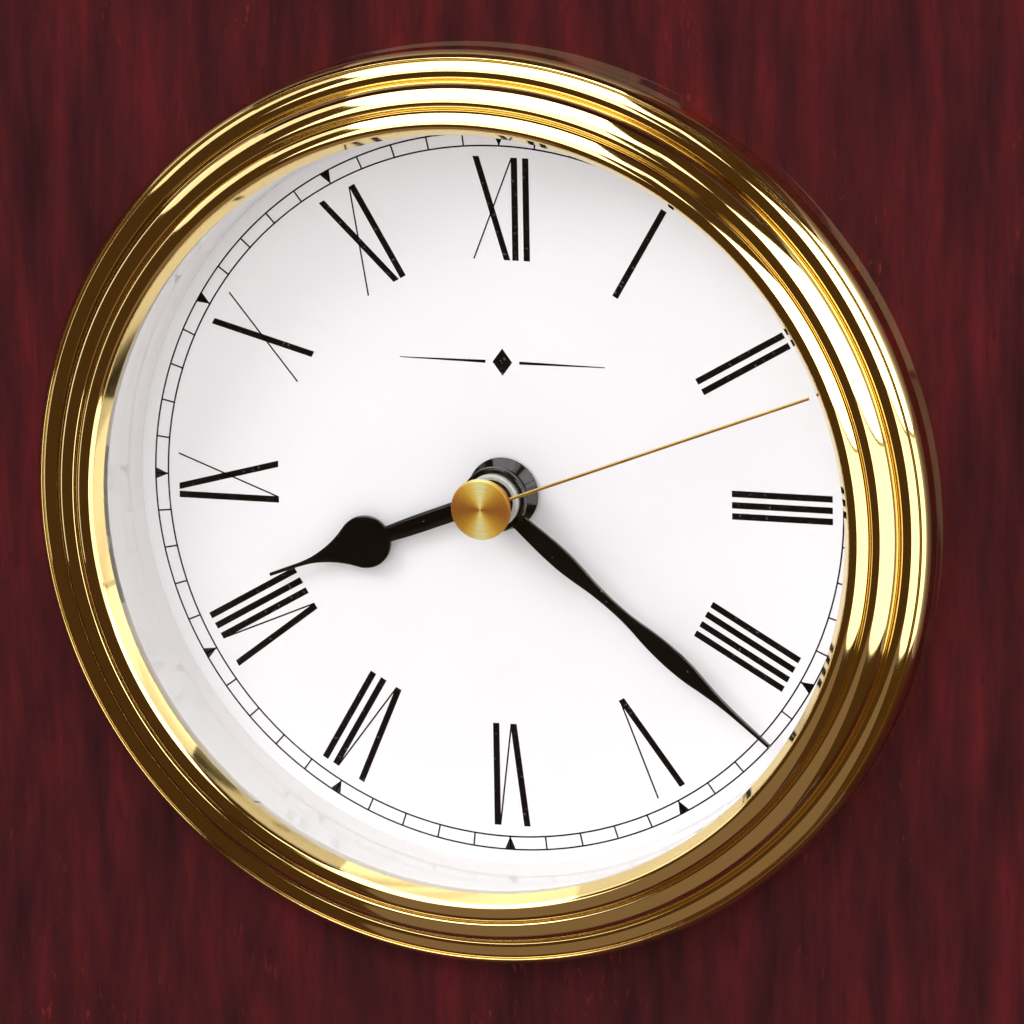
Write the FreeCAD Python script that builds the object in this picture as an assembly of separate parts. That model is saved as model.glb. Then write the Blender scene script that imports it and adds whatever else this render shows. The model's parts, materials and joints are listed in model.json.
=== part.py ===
import FreeCAD, Part
import math
import os
from collections import namedtuple

"""Carriage clock: a wooden case with a rear door and a folding bail, and a quartz clock insert.

Millimetres. The origin is the middle of the footprint on the table, +Z is up and the dial faces -Y.
The insert (bezel, glass, dial, hands and movement) is drawn in its own frame, x right, y up and z out of
the dial with the dial's face at z = 0, and upright() then stands it in the case.
"""

V = FreeCAD.Vector
Arc = namedtuple("Arc", "through to")        # round stretch of an outline: a point on it, then its end
Curve = namedtuple("Curve", "points")        # smooth stretch of an outline through the points

# ---- Driving dimensions -------------------------------------------------------------------------------

# Case
BODY_HALF_X = 68.0
BODY_HALF_Y = 38.0
BODY_H = 150.0
FELT_H = 1.0
FOOT_H = 6.0
FOOT_INSET = 12.0
PLINTH_H = 16.0
CORNICE_H = 14.0
CAP_H = 8.0
MOULDING_OUT = 10.0
FRONT_T = 12.0
SIDE_T = 10.0
FRAME_T = 8.0
STILE_W = 18.0
RAIL_H = 14.0
STOP_W = 4.0
STOP_T = 2.0
GLUE_BLOCK = 8.0

PLINTH_Z = FELT_H + FOOT_H
BODY_Z = PLINTH_Z + PLINTH_H
BODY_TOP = BODY_Z + BODY_H
CAP_Z = BODY_TOP + CORNICE_H
CAP_TOP = CAP_Z + CAP_H
OPENING_HALF_X = BODY_HALF_X - STILE_W
OPENING_Z0 = BODY_Z + RAIL_H
OPENING_Z1 = BODY_TOP - RAIL_H
FRAME_Y = BODY_HALF_Y - FRAME_T

# Insert, heights measured out of the dial
DIAL_Z = BODY_Z + BODY_H / 2
FACE_H = 5.5                                 # the wooden face stands this far in front of the dial
DIAL_Y = FACE_H - BODY_HALF_Y
BEZEL_R = 50.0
HOLE_R = 44.5
SPIGOT_R = 44.2
SEAT_R = 43.2                                # bore of the bezel, which holds glass, flange and dial
PART_R = 43.1                                # what drops into that bore
SPIGOT_END = -2.0
LENS_BACK = 9.7
LENS_FRONT = 11.2
DIAL_EDGE_R = 40.9
FLANGE_TOP_R = 41.5
DIAL_T = 0.5
CUP_FLOOR_T = 2.0
CUP_END = -16.5
CUP_WALL = 1.6

# Hands: angles clockwise from twelve at rest, heights of the blades out of the dial
HOUR_ANGLE = 248.8
MINUTE_ANGLE = 129.9
SECOND_ANGLE = 69.1
HOUR_BLADE = (1.3, 1.8)
MINUTE_BLADE = (3.4, 3.9)
SECOND_BLADE = (7.6, 7.9)

# Concentric pipes on the dial axis, with 0.05 mm running clearance
STEM_R = 3.5
HOUR_PIPE_R = 2.5
CANNON_R = 1.7
SECOND_ARBOR_R = 0.7
PLAY = 0.05

# Movement case
MOVEMENT_HALF = 27.7
MOVEMENT_CORNER = 3.5
SHELL_WALL = 1.4
MOVEMENT_FRONT = -DIAL_T - CUP_FLOOR_T
SHELL_SPLIT = -9.0
MOVEMENT_BACK = -18.0
INNER_FRONT = MOVEMENT_FRONT - SHELL_WALL
INNER_BACK = MOVEMENT_BACK + SHELL_WALL
INNER_HALF = MOVEMENT_HALF - SHELL_WALL
PARTITION_Y = -11.3                          # wall between the battery and the train
PARTITION_T = 1.0
SCREW_POSTS = ((-23.2, 23.2), (23.2, 23.2), (-23.6, -7.6), (23.6, -7.6))
SCREW_POST_R = 2.2
SCREW_R = 1.0
PLATE = (-9.3, -8.5)

# Levels of the train, each wheel a face width WHEEL_T thick, heights measured out of the dial
WHEEL_T = 1.0
INTERMEDIATE_LEVEL = -14.2
SECONDS_LEVEL = -12.4
THIRD_LEVEL = -10.6
CENTRE_LEVEL = -8.2
MINUTE_LEVEL = -6.8
HOUR_LEVEL = -5.3
MAGNET = (-12.7, -10.3)
MAGNET_R = 3.0
AIR = 0.2                                    # end play of an arbor, and the gap between wheels on one axis
BEARING_WALL = 0.8
POST_BORE = 0.5                              # radius of the fixed post of the minute wheel
SETTING_SHAFT_R = 1.5

# Gear train: teeth and modules, each pair at centre distance module * (sum of teeth) / 2
PINION = 8
INTERMEDIATE_TEETH = 48
SECONDS_TEETH = 40
THIRD_TEETH = 60
CENTRE_TEETH = 64
CANNON_TEETH = 12
MINUTE_TEETH = 36
MINUTE_PINION = 10
HOUR_TEETH = 40
SETTING_TEETH = 16
ROTOR_MODULE = 0.30
SECONDS_MODULE = 0.35
THIRD_MODULE = 0.30
MOTION_MODULE = 0.40
THIRD_REACH = THIRD_MODULE * (PINION + THIRD_TEETH) / 2
CENTRE_MODULE = 2 * THIRD_REACH / (PINION + CENTRE_TEETH)
MINUTE_REACH = MOTION_MODULE * (CANNON_TEETH + MINUTE_TEETH) / 2
HOUR_MODULE = 2 * MINUTE_REACH / (MINUTE_PINION + HOUR_TEETH)
SETTING_REACH = MOTION_MODULE * (MINUTE_TEETH + SETTING_TEETH) / 2
INTERMEDIATE_REACH = SECONDS_MODULE * (PINION + SECONDS_TEETH) / 2
ROTOR_REACH = ROTOR_MODULE * (PINION + INTERMEDIATE_TEETH) / 2
ROTOR_BEARING = 20.0                         # direction of the rotor from the intermediate wheel

THIRD_AT = (-THIRD_REACH, 0.0)
INTERMEDIATE_AT = (0.0, INTERMEDIATE_REACH)
ROTOR_AT = (ROTOR_REACH * math.cos(math.radians(ROTOR_BEARING)),
            INTERMEDIATE_REACH + ROTOR_REACH * math.sin(math.radians(ROTOR_BEARING)))
MINUTE_AT = (MINUTE_REACH, 0.0)
SETTING_AT = (MINUTE_REACH + SETTING_REACH, 0.0)

ARBOR_R = 0.4
TOOTH_TIP = 0.10                             # half widths of a tooth, as shares of the pitch
TOOTH_ROOT = 0.21
ADDENDUM = 0.80
DEDENDUM = 1.15

# Motor, battery and electronics
COIL_Y = 21.3
COIL_Z = -10.5
COIL_R = 4.0
WINDING_R = 3.6
COIL_HALF = 9.2
STATOR = (-11.9, -11.1)
BOARD = (-12.6, -11.6)
BATTERY_R = 7.25
BATTERY_Y = -18.8
BATTERY_Z = INNER_FRONT - BATTERY_R - 0.15
BATTERY_X = (-24.6, 24.6)
NUB_END = 25.9

# Handle
POST_X = 44.0
PIVOT_Z = CAP_TOP + 9.0
BAIL_X = 49.8
BAIL_RISE = 34.0
BAIL_BEND = 18.0
BAIL_R = 2.4
EYE_T = 3.0
EYE_R = 5.2                                  # eyes of the bail
BOSS_R = 4.2                                 # cross bosses of the posts
GRIP_R = 4.0
GRIP_HALF = 24.0
PIVOT_R = 1.5
STUD_R = 2.0

# Door
DOOR_GAP = 0.4
DOOR_FREE_GAP = 0.6                          # the swinging edge needs a little more room
DOOR_T = FRAME_T - STOP_T - 0.3
DOOR_Y = BODY_HALF_Y - DOOR_T
HINGE_H = 24.0
LEAF_W = 9.0
LEAF_T = 0.9
KNUCKLE_R = 1.7
HINGE_PIN_R = 0.6
HINGE_X = OPENING_HALF_X - 0.25
HINGE_Y = BODY_HALF_Y + KNUCKLE_R + PLAY
HINGE_HEIGHTS = (OPENING_Z0 + 14.0, OPENING_Z1 - 14.0 - HINGE_H)
KNOB_X = -41.0


# ---- Drawing helpers ----------------------------------------------------------------------------------

def open_path(steps, lift=lambda a, b: V(a, 0, b)):
    """Wire through the steps: a pair is a corner, an Arc or Curve is a round stretch."""
    edges = []
    here = steps[0]
    for step in steps[1:]:
        if isinstance(step, Arc):
            edges.append(Part.Arc(lift(*here), lift(*step.through), lift(*step.to)).toShape())
            here = step.to
        elif isinstance(step, Curve):
            curve = Part.BSplineCurve()
            curve.interpolate([lift(*here)] + [lift(*point) for point in step.points])
            edges.append(curve.toShape())
            here = step.points[-1]
        elif step != here:
            edges.append(Part.makeLine(lift(*here), lift(*step)))
            here = step
    return Part.Wire(edges)


def outline(steps, lift=lambda a, b: V(a, 0, b)):
    """The same wire, closed back to its first step."""
    return open_path(list(steps) + [steps[0]], lift)


def dome(radius, edge, tip):
    """Arc from (radius, edge) to the axis at height tip, round a centre on the axis."""
    rise = tip - edge
    sphere = (radius ** 2 + rise ** 2) / (2 * rise)
    half_angle = math.asin(radius / abs(sphere)) / 2
    return Arc((abs(sphere) * math.sin(half_angle), tip - sphere * (1 - math.cos(half_angle))), (0.0, tip))


def turned(steps):
    """Solid of revolution about Z from an outline of (radius, height)."""
    return Part.Face(outline(steps)).revolve(V(0, 0, 0), V(0, 0, 1), 360)


def prism(steps, low, high):
    """Outline in XY pulled up from low to high."""
    face = Part.Face(outline(steps, lambda a, b: V(a, b, low)))
    return face.extrude(V(0, 0, high - low))


def disc(radius, low, high, at=(0.0, 0.0)):
    return Part.makeCylinder(radius, high - low, V(at[0], at[1], low))


def tube(inner, outer, low, high, at=(0.0, 0.0)):
    return disc(outer, low, high, at).cut(disc(inner, low, high, at))


def block(x, y, z):
    """Box from three (low, high) pairs."""
    return Part.makeBox(x[1] - x[0], y[1] - y[0], z[1] - z[0], V(x[0], y[0], z[0]))


def soft_block(x, y, z, radius):
    """Box with its four upright edges rounded."""
    box = block(x, y, z)
    upright_edges = [edge for edge in box.Edges if abs(edge.tangentAt(edge.FirstParameter).z) > 0.9]
    return box.makeFillet(radius, upright_edges)


def mirrored_x(shape):
    return shape.mirror(V(0, 0, 0), V(1, 0, 0))


def both_sides(shape):
    """The half shape and its mirror image across X = 0, as one solid."""
    return shape.fuse(mirrored_x(shape)).removeSplitter()


def moved(shape, x=0.0, y=0.0, z=0.0):
    copy = shape.copy()
    copy.translate(V(x, y, z))
    return copy


def spun(shape, clockwise):
    """Shape turned clockwise about the dial axis, seen from the front."""
    copy = shape.copy()
    copy.rotate(V(0, 0, 0), V(0, 0, 1), -clockwise)
    return copy


def laid(shape, axis):
    """Shape drawn about +Z turned to lie along the axis."""
    copy = shape.copy()
    copy.Placement = FreeCAD.Placement(V(0, 0, 0), FreeCAD.Rotation(V(0, 0, 1), axis))
    return copy


def upright(shape):
    """Shape from the insert's frame to its place in the case."""
    copy = shape.copy()
    place = FreeCAD.Placement(V(0, DIAL_Y, DIAL_Z), FreeCAD.Rotation(V(1, 0, 0), 90))
    copy.Placement = place.multiply(copy.Placement)
    return copy


def save(node, *solids):
    """Write one node; identical pieces go in as a group of solids."""
    shape = solids[0] if len(solids) == 1 else Part.makeCompound(solids)
    shape.exportStep(os.path.join("parts", node + ".step"))


def save_insert(node, *solids):
    save(node, *[upright(solid) for solid in solids])


def hexagon(across_flats, low, high):
    radius = across_flats / math.sqrt(3)
    angles = [math.radians(60 * k + 30) for k in range(6)]
    return prism([(radius * math.cos(a), radius * math.sin(a)) for a in angles], low, high)


# ---- Case ---------------------------------------------------------------------------------------------

def shifted(step, out, up):
    """A moulding step moved out to the board's edge and up to its height."""
    if isinstance(step, Arc):
        return Arc(shifted(step.through, out, up), shifted(step.to, out, up))
    return (step[0] + out, step[1] + up)


def moulded_board(half_x, half_y, base, side):
    """Board whose four edges carry one moulding, mitred at the corners.

    side is the moulding from the bottom up, as (projection past the half size, height over the base).
    The board is where two crossed prisms of that section meet.
    """
    def crossing(half, reach):
        steps = [shifted(step, half, base) for step in side]
        top = steps[-1].to if isinstance(steps[-1], Arc) else steps[-1]
        face = Part.Face(outline([(0.0, base)] + steps + [(0.0, top[1])]))
        return both_sides(moved(face, y=-reach).extrude(V(0, 2 * reach, 0)))

    reach = max(half_x, half_y) + 2 * MOULDING_OUT
    along_x = crossing(half_x, reach)
    along_y = crossing(half_y, reach)
    along_y.rotate(V(0, 0, 0), V(0, 0, 1), 90)
    return along_x.common(along_y)


def plinth():
    cove = 7.0
    step_h = 6.0
    lip = 1.0
    edge = MOULDING_OUT - lip
    half_chord = cove * math.sqrt(0.5)
    side = [(MOULDING_OUT, 0.0), (MOULDING_OUT, step_h), (edge, step_h), (edge, step_h + lip),
            Arc((edge - half_chord, step_h + lip + cove - half_chord), (edge - cove, step_h + lip + cove)),
            (edge - cove, PLINTH_H)]
    return moulded_board(BODY_HALF_X, BODY_HALF_Y, PLINTH_Z, side)


def cornice():
    cove = 7.0
    lip = 1.0
    foot = 2.0
    edge = MOULDING_OUT - lip
    half_chord = cove * math.sqrt(0.5)
    nose = 1.5
    side = [(edge - cove, 0.0), (edge - cove, foot),
            Arc((edge - half_chord, foot + half_chord), (edge, foot + cove)),
            (edge, foot + cove + lip), (MOULDING_OUT, foot + cove + lip), (MOULDING_OUT, CORNICE_H - nose),
            Arc((MOULDING_OUT - 0.3 * nose, CORNICE_H - 0.3 * nose), (MOULDING_OUT - nose, CORNICE_H))]
    return moulded_board(BODY_HALF_X, BODY_HALF_Y, BODY_TOP, side).cut(Part.makeCompound(stud_holes()))


def top_cap():
    quarter = 4.0
    rise = 2.5
    half_chord = quarter * math.sqrt(0.5)
    side = [(0.0, 0.0), (0.0, rise),
            Arc((half_chord - quarter, rise + half_chord), (-quarter, rise + quarter)),
            (-quarter - 1.0, rise + quarter), (-quarter - 1.0, CAP_H)]
    board = moulded_board(BODY_HALF_X - 2.0, BODY_HALF_Y + 2.0, CAP_Z, side)
    return board.cut(Part.makeCompound(stud_holes()))


def stud_holes():
    """Clearance holes of the two handle posts through cap and cornice."""
    return [disc(STUD_R + 0.1, BODY_TOP - 1.0, CAP_TOP + 1.0, (x, 0.0)) for x in (-POST_X, POST_X)]


def front_panel():
    half_x, front, back = BODY_HALF_X, -BODY_HALF_Y, FRONT_T - BODY_HALF_Y
    board = block((-half_x, half_x), (front, back), (BODY_Z, BODY_TOP))
    front_edges = [edge for edge in board.Edges
                   if abs(edge.CenterOfMass.y - front) < 0.1 and abs(edge.CenterOfMass.x) > half_x - 1]
    board = board.makeFillet(1.0, front_edges)
    return board.cut(upright(disc(HOLE_R, -FRONT_T, 2 * FRONT_T)))


def side_panel():
    return block((BODY_HALF_X - SIDE_T, BODY_HALF_X), (FRONT_T - BODY_HALF_Y, FRAME_Y), (BODY_Z, BODY_TOP))


def glue_block():
    """Three-cornered block up the inside corner behind the front panel."""
    corner_x = BODY_HALF_X - SIDE_T
    corner_y = FRONT_T - BODY_HALF_Y
    steps = [(corner_x, corner_y), (corner_x, corner_y + GLUE_BLOCK), (corner_x - GLUE_BLOCK, corner_y)]
    return prism(steps, BODY_Z + 10.0, BODY_TOP - 10.0)


def rear_stile():
    """Upright of the back frame, rebated so that its inner lip stops the door."""
    opening = OPENING_HALF_X
    steps = [(BODY_HALF_X, FRAME_Y), (BODY_HALF_X, BODY_HALF_Y), (opening, BODY_HALF_Y),
             (opening, FRAME_Y + STOP_T), (opening - STOP_W, FRAME_Y + STOP_T), (opening - STOP_W, FRAME_Y)]
    return prism(steps, BODY_Z, BODY_TOP)


def rear_rail(outer_z, opening_z, stop_z):
    """Cross piece of the back frame, coped over the lips of the two uprights."""
    steps = [(FRAME_Y, outer_z), (BODY_HALF_Y, outer_z), (BODY_HALF_Y, opening_z),
             (FRAME_Y + STOP_T, opening_z), (FRAME_Y + STOP_T, stop_z), (FRAME_Y, stop_z)]
    face = Part.Face(outline(steps, lambda a, b: V(-OPENING_HALF_X, a, b)))
    stile = rear_stile()
    return face.extrude(V(2 * OPENING_HALF_X, 0, 0)).cut([stile, mirrored_x(stile)])


def foot():
    return turned([(0.0, FELT_H), (6.5, FELT_H), Arc((9.0, FELT_H + 2.7), (7.5, PLINTH_Z - 0.8)),
                   (6.5, PLINTH_Z - 0.8), (6.5, PLINTH_Z), (0.0, PLINTH_Z)])


def four_corners(shape):
    at_x = BODY_HALF_X + MOULDING_OUT - FOOT_INSET
    at_y = BODY_HALF_Y + MOULDING_OUT - FOOT_INSET
    return [moved(shape, sx * at_x, sy * at_y) for sx in (-1, 1) for sy in (-1, 1)]


def make_case():
    stile = rear_stile()
    save("plinth", plinth())
    save("cornice", cornice())
    save("top_cap", top_cap())
    save("front_panel", front_panel())
    save("side_panel_right", side_panel())
    save("side_panel_left", mirrored_x(side_panel()))
    save("glue_blocks", glue_block(), mirrored_x(glue_block()))
    save("rear_stile_right", stile.cut(hinge_screws(1)))
    save("rear_stile_left", mirrored_x(stile))
    save("rear_rail_top", rear_rail(BODY_TOP, OPENING_Z1, OPENING_Z1 - STOP_W))
    save("rear_rail_bottom", rear_rail(BODY_Z, OPENING_Z0, OPENING_Z0 + STOP_W))
    save("feet", *four_corners(foot()))
    save("foot_felts", *four_corners(disc(6.0, 0.0, FELT_H)))


# ---- Handle -------------------------------------------------------------------------------------------

def handle_post():
    """Turned post with a cross boss that carries the bail's pivot, and a stud through the case top."""
    base_r = 6.5
    neck_r = 3.0
    column = turned([
        (0.0, CAP_TOP), (base_r, CAP_TOP), (base_r, CAP_TOP + 1.2),
        Arc((6.0, CAP_TOP + 1.9), (5.2, CAP_TOP + 2.0)),
        Arc((3.6, CAP_TOP + 3.6), (neck_r, PIVOT_Z - 2.0)), (neck_r, PIVOT_Z), (0.0, PIVOT_Z)])
    stud = disc(STUD_R, BODY_TOP - 5.0, CAP_TOP)
    boss = moved(laid(disc(BOSS_R, -BOSS_R, BOSS_R), V(1, 0, 0)), z=PIVOT_Z)
    bore = moved(laid(disc(PIVOT_R, -BOSS_R, BOSS_R), V(1, 0, 0)), z=PIVOT_Z)
    return moved(column.fuse([stud, boss]).removeSplitter().cut(bore), POST_X)


def pivot_screw():
    """Shoulder screw from outside, through the bail's eye and into the post."""
    head = BAIL_X + EYE_T / 2 + 0.3
    steps = [(0.0, POST_X - 2.0), (PIVOT_R, POST_X - 2.0), (PIVOT_R, head), (3.2, head), (3.2, head + 0.8),
             dome(3.2, head + 0.8, head + 2.0)]
    return moved(laid(turned(steps), V(1, 0, 0)), z=PIVOT_Z)


def post_nut():
    nut = hexagon(7.0, BODY_TOP - 4.0, BODY_TOP - 0.8).cut(disc(STUD_R, BODY_TOP - 5.0, BODY_TOP))
    return moved(nut, POST_X)


def post_washer():
    return tube(STUD_R, 5.0, BODY_TOP - 0.8, BODY_TOP, (POST_X, 0.0))


def handle_bail():
    """Round rod bent into an arch, with a flat eye at each foot."""
    top = PIVOT_Z + BAIL_RISE
    bend_z = top - BAIL_BEND
    bend_x = BAIL_X - BAIL_BEND
    half_chord = BAIL_BEND * math.sqrt(0.5)
    low = PIVOT_Z + BOSS_R + 0.4
    bend_middle = (bend_x + half_chord, bend_z + half_chord)
    path = open_path([(BAIL_X, low), (BAIL_X, bend_z), Arc(bend_middle, (bend_x, top)), (-bend_x, top),
                      Arc((-bend_middle[0], bend_middle[1]), (-BAIL_X, bend_z)), (-BAIL_X, low)])
    section = Part.Wire([Part.makeCircle(BAIL_R, V(BAIL_X, 0, low), V(0, 0, 1))])
    rod = path.makePipeShell([section], True, False)
    eye = laid(tube(PIVOT_R + PLAY, EYE_R, -EYE_T / 2, EYE_T / 2), V(1, 0, 0))
    bore = laid(disc(PIVOT_R + PLAY, -EYE_T, EYE_T), V(1, 0, 0))
    eyes = [moved(eye, x, 0.0, PIVOT_Z) for x in (-BAIL_X, BAIL_X)]
    bores = [moved(bore, x, 0.0, PIVOT_Z) for x in (-BAIL_X, BAIL_X)]
    return rod.fuse(eyes).cut(bores)


def handle_grip():
    """Turned sleeve on the arch's top: a swelling between two pairs of rings."""
    ring = 1.5
    neck_r = 3.1
    half = [(BAIL_R, 0.0), (GRIP_R, 0.0), Curve(((3.8, 8.0), (neck_r, GRIP_HALF - 4 * ring))),
            Arc((GRIP_R, GRIP_HALF - 3.25 * ring), (neck_r, GRIP_HALF - 2.5 * ring)),
            Arc((GRIP_R, GRIP_HALF - 1.5 * ring), (neck_r, GRIP_HALF - 0.5 * ring)),
            (neck_r, GRIP_HALF), (BAIL_R, GRIP_HALF)]
    right = turned(half)
    left = right.mirror(V(0, 0, 0), V(0, 0, 1))
    return moved(laid(right.fuse(left), V(1, 0, 0)), z=PIVOT_Z + BAIL_RISE)


def make_handle():
    for node, shape in (("handle_posts", handle_post()), ("pivot_screws", pivot_screw()),
                        ("post_nuts", post_nut()), ("post_washers", post_washer())):
        save(node, shape, mirrored_x(shape))
    save("handle_bail", handle_bail())
    save("handle_grip", handle_grip())


# ---- Rear door ----------------------------------------------------------------------------------------

def hinge_screws(side):
    """Countersunk screws of both hinges; side is 1 for the frame's leaves and -1 for the door's."""
    head_r = 1.6
    length = 4.5
    x = HINGE_X + side * (LEAF_W - 3.0)
    face = BODY_HALF_Y + LEAF_T
    steps = [(0.0, -length), (0.5, -length), (0.9, -length + 1.0), (0.9, -0.7), (head_r, 0.0),
             dome(head_r, 0.0, 0.3)]
    screw = laid(turned(steps), V(0, 1, 0))
    heights = [base + HINGE_H * share for base in HINGE_HEIGHTS for share in (0.2, 0.8)]
    return [moved(screw, x, face, z) for z in heights]


def hinge_leaf(base, side):
    """Leaf flat on the wood with its own knuckles: the frame's has the outer two, the door's the middle."""
    third = HINGE_H / 3
    gap = 0.1
    outer = [(0.0, third - gap), (2 * third + gap, HINGE_H)]
    middle = [(third + gap, 2 * third - gap)]
    spans = outer if side > 0 else middle
    bore = HINGE_PIN_R if side > 0 else HINGE_PIN_R + PLAY
    clear = KNUCKLE_R + 0.2
    x_pair = sorted((HINGE_X + side * clear, HINGE_X + side * LEAF_W))
    leaf = block(x_pair, (BODY_HALF_Y, BODY_HALF_Y + LEAF_T), (base, base + HINGE_H))
    for low, high in spans:
        web = block(sorted((HINGE_X, HINGE_X + side * clear)), (BODY_HALF_Y + PLAY, BODY_HALF_Y + LEAF_T),
                    (base + low, base + high))
        leaf = leaf.fuse([web, disc(KNUCKLE_R, base + low, base + high, (HINGE_X, HINGE_Y))])
    pin_hole = disc(bore, base - 1.0, base + HINGE_H + 1.0, (HINGE_X, HINGE_Y))
    return leaf.removeSplitter().cut([pin_hole] + hinge_screws(side))


def rear_door():
    edge = 1.0
    x = (DOOR_FREE_GAP - OPENING_HALF_X, HINGE_X - 0.25)
    z = (OPENING_Z0 + DOOR_GAP, OPENING_Z1 - DOOR_GAP)
    board = block(x, (DOOR_Y, BODY_HALF_Y), z)
    back_edges = [e for e in board.Edges if abs(e.CenterOfMass.y - BODY_HALF_Y) < 0.1]
    board = board.makeChamfer(edge, [e for e in back_edges if e.CenterOfMass.x < HINGE_X - 1])
    return board.cut(hinge_screws(-1) + [door_knob()])


def door_knob():
    """Turned knob with a spigot in the door."""
    ball_at, neck = 5.9, (1.8, 2.8)
    ball_r = math.hypot(neck[0], ball_at - neck[1])
    steps = [(0.0, -4.0), (1.5, -4.0), (1.5, 0.0), (3.2, 0.0), (3.2, 0.8), (1.8, 1.4), neck,
             Arc((ball_r, ball_at), (0.0, ball_at + ball_r))]
    return moved(laid(turned(steps), V(0, 1, 0)), KNOB_X, BODY_HALF_Y, DIAL_Z)


def magnet_catch():
    """Block on the free upright's inner face, with a nose that reaches past the stop to the door."""
    back = FRAME_Y - 8.0
    nose_x = STOP_W - OPENING_HALF_X + 0.3
    front_x = nose_x + 5.7
    root_x = -OPENING_HALF_X - 6.0
    steps = [(root_x, back), (front_x, back), (front_x, FRAME_Y + 1.5), (nose_x, FRAME_Y + 1.5),
             (nose_x, FRAME_Y), (root_x, FRAME_Y)]
    return prism(steps, DIAL_Z - 7.0, DIAL_Z + 7.0)


def strike_plate():
    nose_x = STOP_W - OPENING_HALF_X + 0.4
    return soft_strip((nose_x, nose_x + 5.5), (DOOR_Y - 0.6, DOOR_Y), (DIAL_Z - 6.0, DIAL_Z + 6.0), 1.0)


def soft_strip(x, y, z, radius):
    """Thin plate across Y with its four corners rounded."""
    plate = block(x, y, z)
    corners = [edge for edge in plate.Edges if abs(edge.tangentAt(edge.FirstParameter).y) > 0.9]
    return plate.makeFillet(radius, corners)


def make_door():
    past = 0.4
    axis = (HINGE_X, HINGE_Y)
    pins = [disc(HINGE_PIN_R, base - past, base + HINGE_H + past, axis) for base in HINGE_HEIGHTS]
    save("rear_door", rear_door())
    save("door_knob", door_knob())
    save("hinge_frame_leaves", *[hinge_leaf(base, 1) for base in HINGE_HEIGHTS])
    save("hinge_door_leaves", *[hinge_leaf(base, -1) for base in HINGE_HEIGHTS])
    save("hinge_pins", *pins)
    save("hinge_frame_screws", *hinge_screws(1))
    save("hinge_door_screws", *hinge_screws(-1))
    save("magnet_catch", magnet_catch())
    save("strike_plate", strike_plate())


# ---- Insert: bezel, glass, dial and cup ---------------------------------------------------------------

def bezel():
    """Turned brass bezel: three stepped rings outside, a cove down to the glass, and a spigot behind."""
    return turned([
        (SPIGOT_R, FACE_H), (BEZEL_R, FACE_H), (BEZEL_R, 6.7),
        Arc((49.4, 8.8), (48.05, 9.6)), Arc((47.55, 9.42), (47.0, 9.4)),
        Arc((46.72, 11.0), (45.75, 11.9)), Arc((45.2, 11.7), (44.6, 11.72)),
        Arc((44.12, 12.68), (43.15, 13.1)), Arc((42.3, 12.7), (FLANGE_TOP_R, 11.4)),
        (FLANGE_TOP_R, LENS_FRONT), (SEAT_R, LENS_FRONT), (SEAT_R, SPIGOT_END), (SPIGOT_R, SPIGOT_END)])


def flange_ring():
    """White ring that stands between dial and glass, opening slightly towards the glass."""
    return turned([(DIAL_EDGE_R, 0.0), (PART_R, 0.0), (PART_R, LENS_BACK), (FLANGE_TOP_R, LENS_BACK)])


def insert_cup():
    """Plastic cup behind the dial: a floor that carries the movement, and a rim round it."""
    floor = MOVEMENT_FRONT
    hole_r = STEM_R + AIR
    wall_r = PART_R - CUP_WALL
    cup = turned([(hole_r, -DIAL_T), (PART_R, -DIAL_T), (PART_R, CUP_END), (wall_r, CUP_END),
                  (wall_r, floor), (hole_r, floor)])
    return cup.cut([movement_screw(at) for at in SCREW_POSTS])


def grip_ring():
    """Rubber ring round the cup; its ribs hold the insert in the panel's hole."""
    ribs = 4
    low = FACE_H - FRONT_T
    pitch = (SPIGOT_END - 0.2 - low) / ribs
    valley = PART_R + 0.7
    steps = [(PART_R, low)]
    for k in range(ribs):
        steps += [(valley, low + k * pitch), (HOLE_R - PLAY, low + (k + 0.35) * pitch)]
    return turned(steps + [(valley, low + ribs * pitch), (PART_R, low + ribs * pitch)])


def make_insert():
    save_insert("bezel", bezel())
    save_insert("lens", disc(PART_R, LENS_BACK, LENS_FRONT))
    save_insert("flange_ring", flange_ring())
    save_insert("dial_plate", tube(STEM_R + AIR, PART_R, -DIAL_T, 0.0))
    save_insert("insert_cup", insert_cup())
    save_insert("grip_ring", grip_ring())


# ---- Hands --------------------------------------------------------------------------------------------

def blade(half, span):
    """Flat blade, symmetric about the line to twelve, from the outline of its right half."""
    return both_sides(prism(half, *span))


def hour_hand():
    """Spade: tapered stem, round bulb and a hollow-sided point."""
    bulb_y = 16.4
    bulb_r = 2.86
    root = 1.05
    waist = 0.88
    shoulder = 1.95
    tip = 0.17
    length = 28.0
    waist_y = bulb_y - math.sqrt(bulb_r ** 2 - waist ** 2)
    shoulder_y = bulb_y + math.sqrt(bulb_r ** 2 - shoulder ** 2)
    half = [(0.0, 0.0), (root, 0.0), (root, 4.0), (waist, waist_y),
            Arc((bulb_r, bulb_y), (shoulder, shoulder_y)), Arc((0.6, 22.0), (tip, length)), (0.0, length)]
    hub = turned([(0.0, 0.6), (3.9, 0.6), (4.1, 0.8), (4.1, 1.7), (3.8, 2.0), (0.0, 2.0)])
    hand = hub.fuse(blade(half, HOUR_BLADE)).cut(disc(HOUR_PIPE_R, 0.0, 3.0))
    return spun(hand, HOUR_ANGLE)


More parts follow.
